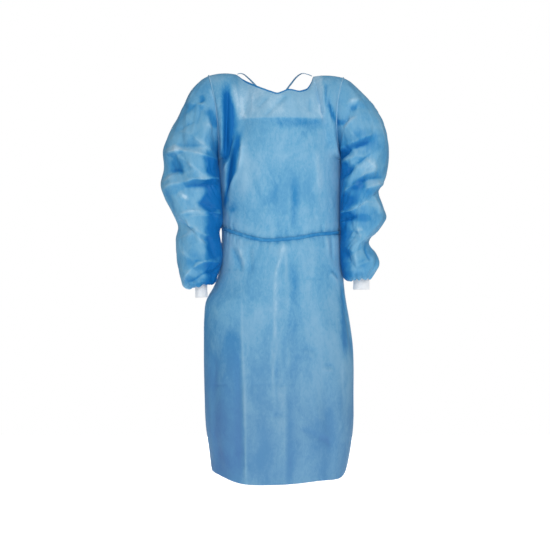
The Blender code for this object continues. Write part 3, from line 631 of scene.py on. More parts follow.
def coated_cloth(name, tone, clouding, roughness, wrinkle_depth, wrinkle_scale, coat):
    """Film-coated nonwoven: a blue that clouds about its tone, with pits, fibres and film wrinkles.

    Painted shade and highlights in the tone move it along the roll's blues; the painted grey dulls it.
    """
    material, tree, shader = new_material(name)
    place = add_node(tree, "TexCoord").outputs
    clouds = add_node(tree, "Group", {"Vector": place["Object"]}, node_tree=CLOUDED_FIBRES).outputs
    pits = add_node(tree, "Group", {"Vector": place["UV"]}, node_tree=BOND_POINTS).outputs
    film = add_node(tree, "Group", {"Vector": place["Object"], "Scale": wrinkle_scale},
                    node_tree=FILM_WRINKLES).outputs
    painted_light_and_shade = add_node(tree, "Attribute", attribute_name="tone").outputs["Fac"]
    greying = add_node(tree, "Attribute", attribute_name="greyed").outputs["Fac"]
    about = math_node(tree, "MULTIPLY_ADD", clouds["Mask"], clouding, tone - clouding / 2)
    blue = add_node(tree, "Group", {"Share": math_node(tree, "ADD", about, painted_light_and_shade)}, node_tree=CLOTH_BLUE)
    greyed = add_node(tree, "Mix", {0: greying, 6: blue.outputs[0], 7: GREYED_BLUE}, data_type="RGBA")
    colour = greyed.outputs[2]
    dull = add_node(tree, "MapRange", {"Value": clouds["Fibres"], "From Min": 0.3, "From Max": 0.7,
                                       "To Min": roughness - 0.08, "To Max": roughness + 0.08})
    wrinkled = add_node(tree, "Bump", {"Height": film["Height"], "Strength": 0.7, "Distance": wrinkle_depth})
    fine = math_node(tree, "MULTIPLY_ADD", pits["Height"], 0.6, clouds["Fibres"])
    pitted = add_node(tree, "Bump", {"Height": fine, "Strength": 0.5, "Distance": 0.0001,
                                     "Normal": wrinkled.outputs[0]})
    # The emission is painted light: a faint glow in the cloth's own colour.
    feed(tree, shader, {"Base Color": colour, "Roughness": dull.outputs[0], "Normal": pitted.outputs[0],
                        "Emission Color": colour, "Emission Strength": PAINTED_GLOW,
                        "Specular IOR Level": 0.12, "Coat Weight": coat, "Coat Roughness": 0.35})
    return material


BODY_CLOTH = coated_cloth("coated_cloth_body", 0.60, 0.30, 0.60, 0.0012, 16.0, 0.0)


def chest_crease(x, z):
    """Rise along the packing crease: linear up from its upper side, quick down on its lower side."""
    above = np.clip(1 - (z - CHEST_CREASE) / CHEST_CREASE_ABOVE, 0, 1)
    below = np.clip(1 - (CHEST_CREASE - z) / CHEST_CREASE_BELOW, 0, 1)
    ends = between(x, *CHEST_CREASE_ENDS)
    return CHEST_CREASE_RISE * MM * ends * np.where(z > CHEST_CREASE, above, below)


def tie_gathers(along, above, seed):
    """Small upright pleats that the tie draws in, as waves that die out from it, and its furrow."""
    waves = np.sin(along / 5.5 + 2.2 * np.sin(along / 31 + seed))
    waves = waves * (0.5 + 0.5 * np.sin(along / 47 + 2 * seed))
    pleats = PLEAT_RISE * waves * np.exp(-np.abs(above) / PLEAT_REACH)
    return pleats - FURROW * np.exp(-(above / FURROW_REACH) ** 2)


def panel_piece(name, node, side, grid, across, folds, fine, shift, tone):
    """Sinks the folds into a panel's grid, raises its fine relief and makes the thickened sheet."""
    turn = -1 if side < 0 else 1
    sink = unit(np.array((0, FOLD_LEAN if side == 0 else -FOLD_LEAN, 0)) - normals(grid) * turn)
    outer = grid + sink * folds[..., None]
    outer = outer + normals(outer) * turn * fine[..., None] + shift
    flat = np.stack(np.broadcast_arrays(across, grid[..., 2]), axis=-1)
    greyed = GREYED * smooth(-grid[..., 2] / MM, *GREYED_HEIGHTS)
    # The tone mask holds painted shade and painted highlights.
    masks = {"tone": tone[:, ::turn], "greyed": greyed[:, ::turn]}
    piece = cloth_mesh(name, outer[:, ::turn], flat[:, ::turn], **masks)
    thicken(piece, CLOTH)
    finish(piece, BODY_CLOTH)
    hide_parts(node)
    return piece, outer


def front_grid():
    """Front panel without folds: ovals up to the underarm, then cubics to shoulders and neckline."""
    left_part = np.linspace(-1, -NECK_SHARE, FRONT_LEFT_COLUMNS + 1)
    neck_part = np.linspace(-NECK_SHARE, NECK_SHARE, FRONT_NECK_COLUMNS + 1)
    right_part = np.linspace(NECK_SHARE, 1, FRONT_RIGHT_COLUMNS + 1)
    across = np.concatenate([left_part[:-1], neck_part, right_part[1:]])
    angle = (90 * across + np.degrees(np.arcsin(across))) / 2
    heights = row_heights(angle)
    lower = body_point(np.broadcast_to(angle, heights.shape), heights)
    neck = np.stack(read_table(NECKLINE, (neck_part / NECK_SHARE + 1) / 2), axis=-1) * MM
    left = shoulder_line(LEFT_ARMHOLE, NECKLINE[0][1:], (left_part + 1) / (1 - NECK_SHARE))
    right = shoulder_line(RIGHT_ARMHOLE, NECKLINE[-1][1:], (1 - right_part) / (1 - NECK_SHARE))
    top = np.concatenate([left[:-1], neck, right[1:]])
    edge = smooth(np.abs(across), *BY_ARMHOLE)[:, None]
    shoulder = smooth(np.abs(across), *BY_SHOULDER)[:, None]
    on_left = across < 0
    half_depth = np.where(on_left, LEFT_ARMHOLE.half_depth, RIGHT_ARMHOLE.half_depth)[:, None] * MM
    cut_in = np.where(on_left, LEFT_ARMHOLE.cut_in, -RIGHT_ARMHOLE.cut_in) * MM
    upwards = np.array((0, 0, 1)) * (top - lower[-1])[:, 2:]
    forwards = np.array((0, -ARMHOLE_REACH, 0)) * half_depth
    start = upwards * (1 - edge) + forwards * edge
    end = np.array(NECK_LEAN) * (1 - shoulder) - forwards * shoulder
    upper = upper_panel(lower[-1], top, start, end, cut_in * edge[:, 0])
    return across, angle, np.concatenate([lower, upper])


across, front_angle, grid = front_grid()
x = grid[..., 0] / MM
z = grid[..., 2] / MM
cloth_across = across * FRONT_HALF_WIDTH
to_seam = (1 - np.abs(across)) * FRONT_HALF_WIDTH
side_rows = SKIRT_ROWS + CHEST_ROWS + 2
top_fade = np.ones((len(grid), 1))
top_fade[side_rows:, 0] = np.linspace(1, 0, ARM_ROWS) ** 0.5
folds = crease_depth(cloth_across / MM, z, FRONT_FOLDS) * smooth(to_seam, 0, SEAM_FADE) * top_fade
relief = -crease_depth(x, z, FRONT_CREASES)
relief += tie_gathers(cloth_across / MM, z - read_table(WAIST_TIE, front_angle)[0], 7)
fine = chest_crease(x, z) + CREASE_RISE * relief + crumple(cloth_across / MM, z, FRONT_CRUMPLE)
fine *= edge_fade(to_seam, len(grid))
shift = np.zeros(grid.shape)
shift[:side_rows, (0, -1), 1] = -SEAM_GAP / 2
shift[side_rows - 1:, 0, 0] = SEAM_GAP / 2
shift[side_rows - 1:, -1, 0] = -SEAM_GAP / 2
# Painted light and shade: paler above the chest crease and on ridges, deeper under it, in folds and down the
# skirt.
above_crease = smooth(z, CHEST_CREASE - 3, CHEST_CREASE + 2) * between(x, *ABOVE_CREASE_ENDS)
below_crease = np.exp(-((z - CHEST_CREASE + 14) / 16) ** 2) * between(x, *BELOW_CREASE_ENDS)
tone = ABOVE_CREASE_PAINTED_LIGHT * above_crease - BELOW_CREASE_PAINTED_SHADE * below_crease
tone += light_and_shade_share(relief / MM, RELIEF_MOST, RELIEF_LIGHT_AND_SHADE) - np.clip(folds / MM * FOLD_PAINTED_SHADE, -0.1, 0.3)
tone -= SKIRT_PAINTED_SHADE * smooth(-z, *SKIRT_HEIGHTS)
tone -= LEFT_SKIRT_PAINTED_SHADE * smooth(-x, *LEFT_SKIRT_X) * smooth(-z, *LEFT_SKIRT_HEIGHTS)
tone -= CORNERS_PAINTED_SHADE * smooth(-z, *CORNER_HEIGHTS) * smooth(np.abs(x), *CORNERS_X)
tone += shade(x, z, FRONT_SHADES)
front_panel, front_outer = panel_piece("front_cloth", "front_panel", 0, grid, cloth_across, folds, fine,
                                       shift, tone)

# ------------------------------------------------------------------------------------------------
# Back panels
# Two pieces of the same cloth, one from each side seam past centre back. The right one laps over
# the left one, the waist tie holds them shut, and above it they fall open to the neck points.

BACK_COLUMNS = 84
BACK_EDGE = (
    # height, left panel's free edge x, right panel's free edge x
    (-1132, 52, -48),
    (-900, 56, -52),
    (-600, 54, -52),
    (-432, 50, -50),
    (-350, 32, -34),
    (-290, 6, -8),
    (-235, -20, 20),
)
LAP = 5 * MM                 # how far the left panel lies inside the right one where they overlap
LAP_START = 95 * MM          # distance from centre back where it starts to go under
LAP_EASE = 35 * MM           # and the width over which it does so
LAP_TOP = -330 * MM          # the lap fades out from this height up to the underarm
BACK_WIDTH = 335 * MM
BACK_SEAM_FADE = 20 * MM     # folds die out this close to the side seam
BACK_FOLDS_END = (0.6, 0.8)  # and over these shares of the way across
BACK_UPWARDS = 1.15          # how strongly the columns rise from the underarm
FLAT_LAP = 0.75              # the lap is flatter by this share, over the next shares and heights
FLAT_LAP_ACROSS = (0.55, 0.75)
FLAT_LAP_HEIGHTS = (-330, -250)
BACK_CREASE_SHIFT = 6        # the two panels' creases lie this much above and below the table's
# Painted highlights on ridges and painted shade in hollows, folds and down the skirt.
BACK_RELIEF_LIGHT_AND_SHADE = 0.085
BACK_FOLD_PAINTED_SHADE = 1 / 15
BACK_SKIRT_PAINTED_SHADE = 0.12
SIDE_BLEND = 120 * MM        # the front's painted shade fades out behind the side seam over this width
BACK_CRUMPLE = (
    # cell across, cell up, height, number added to the seed, roundings
    (62, 80, 1.3, 0, 6),
    (26, 42, 0.6, 2, 3),
)
BACK_FOLDS = (
    # across from the side seam 1, height 1, across 2, height 2, sag, half width, depth, crispness
    (128, -60, 92, -270, 0, 20, 13, 2),
    (120, -445, 96, -760, 0, 20, 7, 2),
    (190, -445, 205, -900, 0, 24, 7, 2),
    (60, -1130, 76, -700, 0, 24, 7, 2),
    (150, -1130, 150, -900, 0, 20, 6, 2),
    (215, -250, 180, -425, 0, 16, 5, 2),
)
BACK_CREASES = (
    # across 1, height 1, across 2, height 2, sag, half width, depth, crispness
    (70, -445, 84, -620, 2, 5, -2.5, 1.2),
    (110, -620, 100, -900, 0, 4, -2.2, 1.1),
    (176, -450, 170, -640, 3, 5, 2.6, 1.3),
    (230, -445, 236, -560, 0, 5, -2.4, 1.2),
    (236, -560, 236, -1110, 0, 4, -2.2, 1.1),
    (20, -640, 210, -640, 2, 3, 1.6, 1.1),
    (30, -860, 250, -858, 0, 3, 1.6, 1.1),
    (60, -250, 120, -330, 4, 7, -3.0, 1.4),
    (100, -240, 170, -300, 6, 8, 3.0, 1.5),
    (40, -330, 150, -430, 5, 7, 2.6, 1.5),
    (190, -300, 230, -430, 3, 5, -2.2, 1.3),
    (150, -120, 190, -300, 4, 6, -2.4, 1.3),
    (120, -950, 180, -1050, 5, 8, 2.2, 1.6),
    (40, -760, 90, -700, 4, 6, 2.2, 1.4),
    (150, -440, 155, -490, 0, 3, 1.8, 1.2),
    (164, -440, 172, -500, 0, 3, -1.8, 1.2),
    (100, -440, 108, -480, 0, 3, 1.6, 1.2),
)


def back_panel(name, node, side, armhole, neck, seed):
    """One back panel: ovals from its side seam past centre back, then cubics up to the shoulder."""
    share = np.linspace(0, 1, BACK_COLUMNS + 1)
    rough = row_heights(side * (90 + 90 * share))
    edge_x = read_table(BACK_EDGE, rough / MM)[1 if side > 0 else 0] * MM
    left, right, _, _, squareness = read_table(BODY, rough / MM)
    past = (edge_x - (left + right) / 2 * MM) / ((right - left) / 2 * MM) * side
    past_angle = np.degrees(np.arcsin(np.sign(past) * np.abs(past) ** (squareness / 2)))
    lower = body_point(side * (90 + (90 - past_angle) * share), rough)
    if side < 0:
        under = smooth(lower[..., 0], -LAP_START, -LAP_START + LAP_EASE)
        lower[..., 1] -= LAP * under * (1 - smooth(lower[..., 2], LAP_TOP, UNDERARM))
    top = shoulder_line(armhole, neck, share)
    edge = (1 - smooth(share, 0, 0.5))[:, None]
    upwards = np.array((0, 0, BACK_UPWARDS)) * (top - lower[-1])[:, 2:]
    backwards = np.array((0, ARMHOLE_REACH, 0)) * armhole.half_depth * MM
    start = upwards * (1 - edge) + backwards * edge
    end = -backwards * (1 - 0.15 * (1 - edge))
    cut_in = -side * CUT_IN_BEHIND * armhole.cut_in * MM * edge[:, 0]
    grid = np.concatenate([lower, upper_panel(lower[-1], top, start, end, cut_in)])
    cloth_across = share * BACK_WIDTH
    z = grid[..., 2] / MM
    folds = crease_depth(cloth_across / MM, z, BACK_FOLDS) * top_fade
    folds *= smooth(cloth_across, 0, BACK_SEAM_FADE) * (1 - smooth(share, *BACK_FOLDS_END))
    relief = -crease_depth(cloth_across / MM, z - BACK_CREASE_SHIFT * side, BACK_CREASES)
    above_tie = z - read_table(WAIST_TIE, side * (90 + 90 * share))[0]
    relief += tie_gathers(cloth_across / MM, above_tie, seed)
    fine = CREASE_RISE * relief + crumple(cloth_across / MM, z, BACK_CRUMPLE, seed)
    fine *= edge_fade(cloth_across, len(grid))
    fine *= 1 - FLAT_LAP * smooth(share, *FLAT_LAP_ACROSS) * (1 - smooth(z, *FLAT_LAP_HEIGHTS))
    shift = np.zeros(grid.shape)
    shift[:side_rows, 0, 1] = SEAM_GAP / 2
    shift[side_rows - 1:, 0, 0] = -side * SEAM_GAP / 2
    shift[-1, :, 1] = SEAM_GAP / 2
    # Painted light and shade, as on the front panel.
    tone = light_and_shade_share(relief / MM, RELIEF_MOST, BACK_RELIEF_LIGHT_AND_SHADE)
    tone -= np.clip(folds / MM * BACK_FOLD_PAINTED_SHADE, -0.2, 0.85)
    tone -= BACK_SKIRT_PAINTED_SHADE * smooth(-z, *SKIRT_HEIGHTS)
    front_painted_shade = CORNERS_PAINTED_SHADE * smooth(-z, *CORNER_HEIGHTS)
    if side < 0:
        front_painted_shade += LEFT_SKIRT_PAINTED_SHADE * smooth(-z, *LEFT_SKIRT_HEIGHTS)
    tone -= front_painted_shade * (1 - smooth(cloth_across, 0, SIDE_BLEND))
    from_front = side * (FRONT_HALF_WIDTH + cloth_across)
    piece, outer = panel_piece(name, node, side, grid, from_front, folds, fine, shift, tone)
    return outer


left_outer = back_panel("back_cloth_left", "back_panel_left", -1, LEFT_ARMHOLE, NECKLINE[0][1:], 11)
right_outer = back_panel("back_cloth_right", "back_panel_right", 1, RIGHT_ARMHOLE, NECKLINE[-1][1:], 17)

# ------------------------------------------------------------------------------------------------
# Sleeves
# Each is one piece of the same cloth, joined along the underarm and set into the armhole. They are
# long and full, so they bag into sharp film-like folds at the elbow and puff out over the cuff.

SLEEVE_LEFT = (
    # distance, inner x, inner y, inner z, outer x, outer y, outer z, half depth, cut in
    (0, *LEFT_ARMHOLE),
    (25, -171, -18, -249, -222, -2, -9, 81, 8),
    (55, -168, -34, -265, -246, -5, -34, 84, 3),
    (95, -166, -44, -288, -269, -10, -80, 85, 0),
    (140, -164, -48, -312, -290, -16, -129, 85, 0),
    (185, -162, -50, -336, -311, -22, -171, 84, 0),
    (225, -160, -50, -358, -323, -28, -212, 82, 0),
    (265, -159, -50, -378, -321, -32, -257, 79, 0),
    (305, -158, -50, -398, -329, -36, -306, 76, 0),
    (340, -159, -50, -416, -318, -40, -343, 73, 0),
    (375, -167, -50, -438, -297, -43, -382, 70, 0),
    (410, -165, -50, -458, -280, -46, -419, 67, 0),
    (450, -160, -51, -484, -284, -48, -462, 65, 0),
    (490, -158, -52, -508, -285, -51, -500, 64, 0),
    (525, -162, -54, -534, -279, -54, -538, 60, 0),
    (560, -169, -56, -560, -270, -56, -570, 54, 0),
    (585, -176, -57, -579, -259, -57, -592, 43, 0),
    (600, -187, -57, -585, -244, -57, -595, 31, 0),
    (612, -197, -57, -578, -232, -57, -585, 23, 0),
)
SLEEVE_RIGHT = (
    # distance, inner x, inner y, inner z, outer x, outer y, outer z, half depth, cut in
    (0, *RIGHT_ARMHOLE),
    (25, 181, -18, -249, 205, -2, -12, 80, 13),
    (55, 179, -34, -265, 232, -5, -37, 83, 6),
    (95, 177, -44, -288, 264, -10, -73, 85, 0),
    (140, 177, -48, -312, 287, -16, -109, 85, 0),
    (185, 176, -50, -336, 303, -22, -152, 83, 0),
    (225, 176, -50, -358, 311, -28, -198, 80, 0),
    (265, 176, -50, -378, 308, -32, -252, 77, 0),
    (305, 176, -50, -398, 298, -36, -295, 74, 0),
    (340, 176, -50, -416, 281, -39, -326, 71, 0),
    (375, 179, -50, -436, 290, -42, -363, 68, 0),
    (410, 178, -50, -458, 300, -45, -398, 66, 0),
    (450, 177, -51, -480, 281, -47, -434, 63, 0),
    (490, 177, -52, -502, 253, -49, -468, 60, 0),
    (525, 178, -53, -525, 273, -51, -500, 59, 0),
    (560, 179, -55, -549, 281, -54, -534, 53, 0),
    (585, 185, -56, -569, 265, -56, -559, 42, 0),
    (600, 198, -56, -575, 256, -56, -569, 29, 0),
    (612, 209, -56, -568, 255, -56, -564, 18, 0),
)
SLEEVE_HALF_ROUND = 240 * MM     # half the way round the upper arm, the measure for its folds
SLEEVE_LENGTH = 612 * MM
SLEEVE_PLAIN = 522 * MM          # distance along a sleeve where it starts to be gathered into the cuff
SLEEVE_RINGS = 250
SLEEVE_COLUMNS = 186
PRESSED = 4 * MM                 # the inner side is pressed towards the gown, so that no gap shows
FOLD_SHARE = 0.35                # of the solid's folds, which the film planes below sharpen
FILM_RISE = 1.7                  # film planes stand out by this times their depth in the tables
CREASE_CORNERS = 5               # a crease gives this many corners of film planes
CREASE_END = 0.4                 # and is this high at its ends, as a share of its middle
SAME_CORNER = 7                  # corners closer than this become one
ROUNDING = 1e-6
BEHIND_LOWER = 14                # creases lie this much lower behind
THIN = 0.7                       # the sharp line on a crease has this share of its half width
LINE_IN_FRONT = 0.5              # and this share of its depth in front
LINE_BEHIND = 0.4
SLEEVE_CRUMPLE = (
    # cells round, cell along, turn along the sleeve, height, number added to the seed
    (16, 58, 1 / 90, 2.4, 0),
    (32, 30, 0, 1.5, 3),
)
# Painted light and shade on the sleeves, from the film planes' falls, the crease lines and the facets.
FALL_MOST = 0.5
FALL_LIGHT_AND_SHADE = 0.55                 # painted light where film faces up, painted shade where it faces down
LINE_LIGHT_AND_SHADE = 0.10
CRUMPLE_LIGHT_AND_SHADE = 0.02
BESIDE_BODY_DEEPER = 0.52        # in the shade beside the body, out to these places
BESIDE_BODY_X = (-213, -180)
BESIDE_BODY_Z = (150, 235)
SHADES_LOWER = 20                # the painted shades lie this much lower behind, and are weaker
SHADES_BEHIND = 0.7
PUFF_RISE = 2.2 * MM             # small pleats where the sleeve is gathered into the cuff
PUFFS_ROUND = 11
# Towards the inner side folds and relief die out and the cloth is pressed, from 0 outside to 1.
FOLDS_INSIDE = (0.75, 0.95)
FINE_INSIDE = (0.84, 0.98)
PRESSED_INSIDE = (0.7, 1.0)
# Where a thing starts, is full, fades and ends: round half the sleeve and along it.
HALF_ROUND = (0.0, 0.16, 0.86, 0.97)
PRESSED_ALONG = (1 * MM, 22 * MM, SLEEVE_PLAIN, SLEEVE_LENGTH - 40 * MM)
FOLDS_ALONG = (0, 58 * MM, SLEEVE_PLAIN, SLEEVE_LENGTH - 12 * MM)
PLANES_ALONG = (14 * MM, 40 * MM, SLEEVE_LENGTH - 30 * MM, SLEEVE_LENGTH)
FINE_ALONG = (0, 30 * MM, SLEEVE_LENGTH - 12 * MM, SLEEVE_LENGTH)
PUFFS_ALONG = (SLEEVE_LENGTH - 62 * MM, SLEEVE_LENGTH - 12 * MM, SLEEVE_LENGTH - 14 * MM, SLEEVE_LENGTH)
SLEEVE_FOLDS = (
    # round 1, distance 1, round 2, distance 2, sag, half width, depth, crispness
    (-24, 205, -204, 150, 0, 22, -7, 2),
    (-24, 250, -204, 195, 0, 20, 8, 2),
    (-12, 310, -204, 240, 0, 21, -6, 2),
    (-96, 345, -204, 300, 0, 24, 10, 2),
    (-36, 385, -192, 365, 0, 20, -5, 2),
    (-149, 395, -192, 520, 0, 22, 9, 2),
    (-36, 545, -168, 500, 0, 20, -5, 2),
    (36, 225, 204, 160, 0, 22, -6, 2),
    (48, 330, 204, 270, 0, 24, 9, 2),
    (24, 420, 192, 390, 0, 22, 6, 2),
    (36, 540, 180, 490, 0, 20, -5, 2),
)
# Sharp creases by their place in the front view.
LEFT_CREASES = (
    # x 1, z 1, x 2, z 2, sag, half width, depth, crispness
    (-243, -82, -197, -91, 0, 6, -3, 1.3),
    (-259, -115, -199, -72, 5, 7, 3, 1.6),
    (-199, -145, -178, -156, 0, 8, -4, 2),
    (-278, -159, -224, -137, 3, 6, 2.5, 1.5),
    (-232, -178, -183, -219, -3, 5, -3.5, 1.2),
    (-312, -224, -238, -224, 5, 4, -4.5, 1.1),
    (-238, -224, -166, -248, 3, 5, -6, 1.1),
    (-289, -200, -221, -208, 0, 10, 3, 2),
    (-247, -251, -206, -283, 0, 5, -4, 1.2),
    (-306, -276, -259, -279, 5, 10, 6, 2),
    (-318, -322, -262, -307, 3, 5, -4.5, 1.2),
    (-262, -307, -161, -295, 5, 6, -6, 1.2),
    (-251, -320, -164, -314, 3, 8, 5, 1.8),
    (-273, -333, -240, -355, 0, 8, -3.5, 1.8),
    (-224, -363, -167, -377, 0, 11, 4, 2),
    (-270, -393, -206, -384, 3, 5, -4, 1.2),
    (-206, -384, -156, -390, 0, 5, -4, 1.2),
    (-259, -401, -161, -399, 3, 4, -3, 1.2),
    (-267, -415, -216, -459, 3, 5, 3, 1.5),
    (-251, -404, -197, -480, -5, 5, -3.5, 1.2),
    (-232, -428, -186, -452, -5, 6, -4, 1.3),
    (-197, -453, -175, -508, 3, 9, 2, 2),
    (-267, -491, -224, -524, 0, 6, -3, 1.3),
    (-256, -573, -232, -540, 3, 4, -4.5, 1.1),
    (-232, -540, -194, -519, 3, 4, -4.5, 1.1),
    (-194, -519, -161, -525, -3, 4, -4.5, 1.1),
    (-251, -581, -199, -551, -5, 5, 4, 1.4),
    (-199, -551, -164, -562, 0, 6, 5, 1.6),
    (-311, -301, -289, -284, 0, 4, -3, 1.2),
    (-300, -246, -262, -219, 0, 5, 2, 1.4),
    (-216, -93, -224, -145, 3, 6, 2.5, 1.5),
    (-194, -42, -221, -93, 3, 9, 3, 1.8),
)
RIGHT_CREASES = (
    # x 1, z 1, x 2, z 2, sag, half width, depth, crispness
    (196, -80, 229, -77, 0, 9, -4, 2),
    (201, -102, 218, -96, 0, 8, 2.5, 2),
    (169, -148, 196, -126, 0, 6, 5, 1.6),
    (182, -159, 215, -123, 3, 5, -4, 1.3),
    (169, -221, 188, -205, 0, 5, -5, 1.2),
    (188, -205, 223, -191, 0, 5, -5, 1.2),
    (223, -191, 259, -172, 0, 5, -4, 1.2),
    (171, -235, 201, -213, 0, 6, 6, 1.5),
    (201, -213, 253, -194, 0, 6, 6, 1.5),
    (182, -246, 210, -235, 0, 8, -3, 2),
    (171, -295, 210, -260, 0, 8, 5, 1.7),
    (210, -260, 256, -230, 0, 8, 5, 1.7),
    (218, -295, 272, -273, 3, 5, -4, 1.3),
    (180, -333, 223, -306, 3, 6, -4, 1.3),
    (223, -306, 289, -292, 3, 7, 4, 1.7),
    (229, -328, 289, -306, 3, 6, -4, 1.3),
    (272, -112, 296, -196, 0, 4, -3, 1.2),
    (246, -100, 262, -150, 0, 5, -2.5, 1.2),
    (245, -246, 272, -268, 0, 4, -3, 1.2),
    (240, -268, 270, -246, 0, 4, -2.5, 1.2),
    (171, -390, 212, -385, 3, 5, -5, 1.2),
    (212, -385, 245, -355, 3, 5, -4, 1.2),
    (171, -410, 215, -401, 3, 8, 6, 1.8),
    (256, -341, 278, -388, 3, 6, -4, 1.3),
    (215, -426, 229, -480, 3, 4, -3.5, 1.2),
    (234, -437, 223, -491, 0, 4, 3, 1.4),
    (188, -464, 212, -431, 3, 5, 3, 1.5),
    (169, -491, 201, -524, 3, 6, 4, 1.6),
    (240, -475, 256, -524, -3, 5, 4, 1.5),
    (210, -497, 218, -546, 0, 5, -3, 1.4),
)
# Painted shade deep blue in hollows and painted highlights pale on bulges, by place in the front view.
LEFT_SHADES = (
    # x 1, z 1, x 2, z 2, sag, half width, share
    (-198, -99, -169, -153, 0, 13, -0.30),
    (-215, -57, -206, -82, 0, 8, -0.20),
    (-294, -241, -265, -274, 0, 16, -0.22),
    (-198, -266, -164, -282, 0, 15, -0.42),
    (-210, -349, -169, -374, 0, 21, -0.50),
    (-181, -416, -164, -466, 0, 17, -0.45),
    (-189, -474, -169, -512, 0, 14, -0.35),
    (-256, -504, -185, -529, 0, 21, -0.12),
    (-256, -585, -169, -575, 0, 9, -0.22),
    (-248, -74, -294, -174, 0, 12, -0.10),
    (-206, -225, -172, -262, 0, 14, -0.25),
    (-208, -345, -172, -395, 0, 16, -0.20),
    (-298, -201, -265, -224, 0, 11, 0.20),
    (-227, -182, -169, -241, 0, 10, 0.14),
    (-263, -341, -248, -349, 0, 6, 0.30),
    (-260, -385, -160, -396, 0, 5, 0.18),
    (-260, -412, -194, -458, 0, 20, 0.10),
    (-189, -40, -169, -78, 0, 7, 0.20),
    (-252, -552, -198, -558, 0, 11, 0.12),
    (-311, -291, -281, -295, 0, 9, 0.12),
    (-244, -291, -169, -320, 0, 13, -0.12),
    (-311, -316, -277, -391, 0, 8, -0.10),
    (-192, -395, -169, -412, 0, 7, -0.20),
)
RIGHT_SHADES = (
    # x 1, z 1, x 2, z 2, sag, half width, share
    (175, -28, 154, -90, 0, 6, 0.20),
    (142, -86, 163, -145, 0, 10, -0.35),
    (200, -94, 217, -103, 0, 13, -0.12),
    (158, -136, 184, -140, 0, 8, -0.30),
    (192, -78, 217, -86, 0, 8, 0.20),
    (192, -201, 242, -195, 0, 8, -0.06),
    (181, -232, 204, -261, 0, 11, 0.24),
    (242, -241, 267, -274, 0, 15, 0.20),
    (215, -224, 238, -224, 0, 8, -0.15),
    (173, -261, 192, -261, 0, 9, -0.35),
    (171, -291, 200, -266, 0, 7, -0.20),
    (200, -316, 242, -307, 0, 14, -0.30),
    (173, -341, 192, -316, 0, 8, 0.15),
    (175, -370, 225, -345, 0, 13, -0.35),
    (259, -362, 284, -391, 0, 8, 0.20),
    (175, -403, 259, -403, 0, 10, -0.25),
    (169, -416, 175, -466, 0, 11, -0.45),
    (217, -428, 242, -466, 0, 10, 0.15),
    (188, -512, 202, -512, 0, 8, 0.20),
    (175, -474, 171, -558, 0, 6, -0.35),
    (179, -560, 259, -558, 0, 8, -0.10),
    (225, -512, 250, -554, 0, 10, -0.10),
    (267, -207, 296, -207, 0, 13, -0.12),
    (200, -308, 262, -345, 0, 24, -0.26),
    (205, -165, 262, -215, 0, 27, -0.16),
    (225, -153, 284, -149, 0, 8, 0.06),
)
SLEEVE_CLOTH = coated_cloth("coated_cloth_sleeves", 0.52, 0.20, 0.44, 0.0012, 26.0, 0.07)


def film_planes(x, z, creases, outline):
    """Height in millimetres and fall of flat triangles of film between the creases and the outline.

    Every crease gives a row of corners, at its full height halfway and lower towards its ends.
    Corners that nearly meet become one, and a Delaunay net joins them all. A plane's fall is how
    much further out it stands for each millimetre down.
    """
    corners = [[*place, 0.0] for place in outline]
    for x_1, z_1, x_2, z_2, sag, _, depth, _ in creases:
        length = math.hypot(x_2 - x_1, z_2 - z_1)
        for share in np.linspace(0, 1, CREASE_CORNERS).tolist():
            arch = 4 * share * (1 - share)
            corner_x = x_1 + (x_2 - x_1) * share - sag * arch * (z_2 - z_1) / length
            corner_z = z_1 + (z_2 - z_1) * share + sag * arch * (x_2 - x_1) / length
            height = -depth * (CREASE_END + (1 - CREASE_END) * arch)
            near = [other for other in corners
                    if math.hypot(other[0] - corner_x, other[1] - corner_z) < SAME_CORNER]
            if near:
                near[0][2] = (near[0][2] + height) / 2
            else:
                corners.append([corner_x, corner_z, height])
    net = delaunay_2d_cdt([Vector(corner[:2]) for corner in corners], [], [], 0, 0.01)
    heights = np.zeros(x.shape)
    falls = np.zeros(x.shape)
    for triangle in net[2]:
        first, second, third = (np.array(corners[net[3][corner][0]]) for corner in triangle)
        side_a = second - first
        side_b = third - first
        double = side_a[0] * side_b[1] - side_a[1] * side_b[0]
        share_a = ((x - first[0]) * side_b[1] - (z - first[1]) * side_b[0]) / double
        share_b = (side_a[0] * (z - first[1]) - side_a[1] * (x - first[0])) / double
        inside = (share_a >= -ROUNDING) & (share_b >= -ROUNDING) & (share_a + share_b <= 1 + ROUNDING)
        heights = np.where(inside, first[2] + share_a * side_a[2] + share_b * side_b[2], heights)
        falls = np.where(inside, (side_b[0] * side_a[2] - side_a[0] * side_b[2]) / double, falls)
    return heights, falls


def sleeve_section(rows, distance, round_share):
    """Point of a sleeve: from its inner to its outer line, with y bowed out by the half depth."""
    *points, half_depth, cut_in = read_table(rows, distance / MM)
    inner = np.stack(points[:3], axis=-1)
    outer = np.stack(points[3:], axis=-1)
    share = 1 - np.abs(round_share)
    along = share * share * (3 - 2 * share)
    bow = 4 * share * (1 - share)
    point = inner + (outer - inner) * along[..., None]
    drawn_in = np.where(round_share < 0, 1, CUT_IN_BEHIND) * cut_in
    point[..., 0] -= np.sign(inner[..., 0]) * drawn_in * bow ** 2
    point[..., 1] += half_depth * bow * np.where(round_share < 0, -1, 1)
    return point * MM


def tube_grid(rows, distance, columns):
    """Places round a tube, and its points: -1 inside, over the front to 0 outside, behind to 1."""
    round_share = np.linspace(-1, 1, columns + 1)[None, :-1]
    distances, round_shares = np.broadcast_arrays(distance, round_share)
    return round_share, sleeve_section(rows, distances, round_shares)


def tube_cloth(round_share, half_round, along):
    """Flat cloth of a tube, with one more column where it closes."""
    corner = np.concatenate([round_share, [[1.0]]], axis=1)
    return np.stack(np.broadcast_arrays(corner * half_round, along), axis=-1)


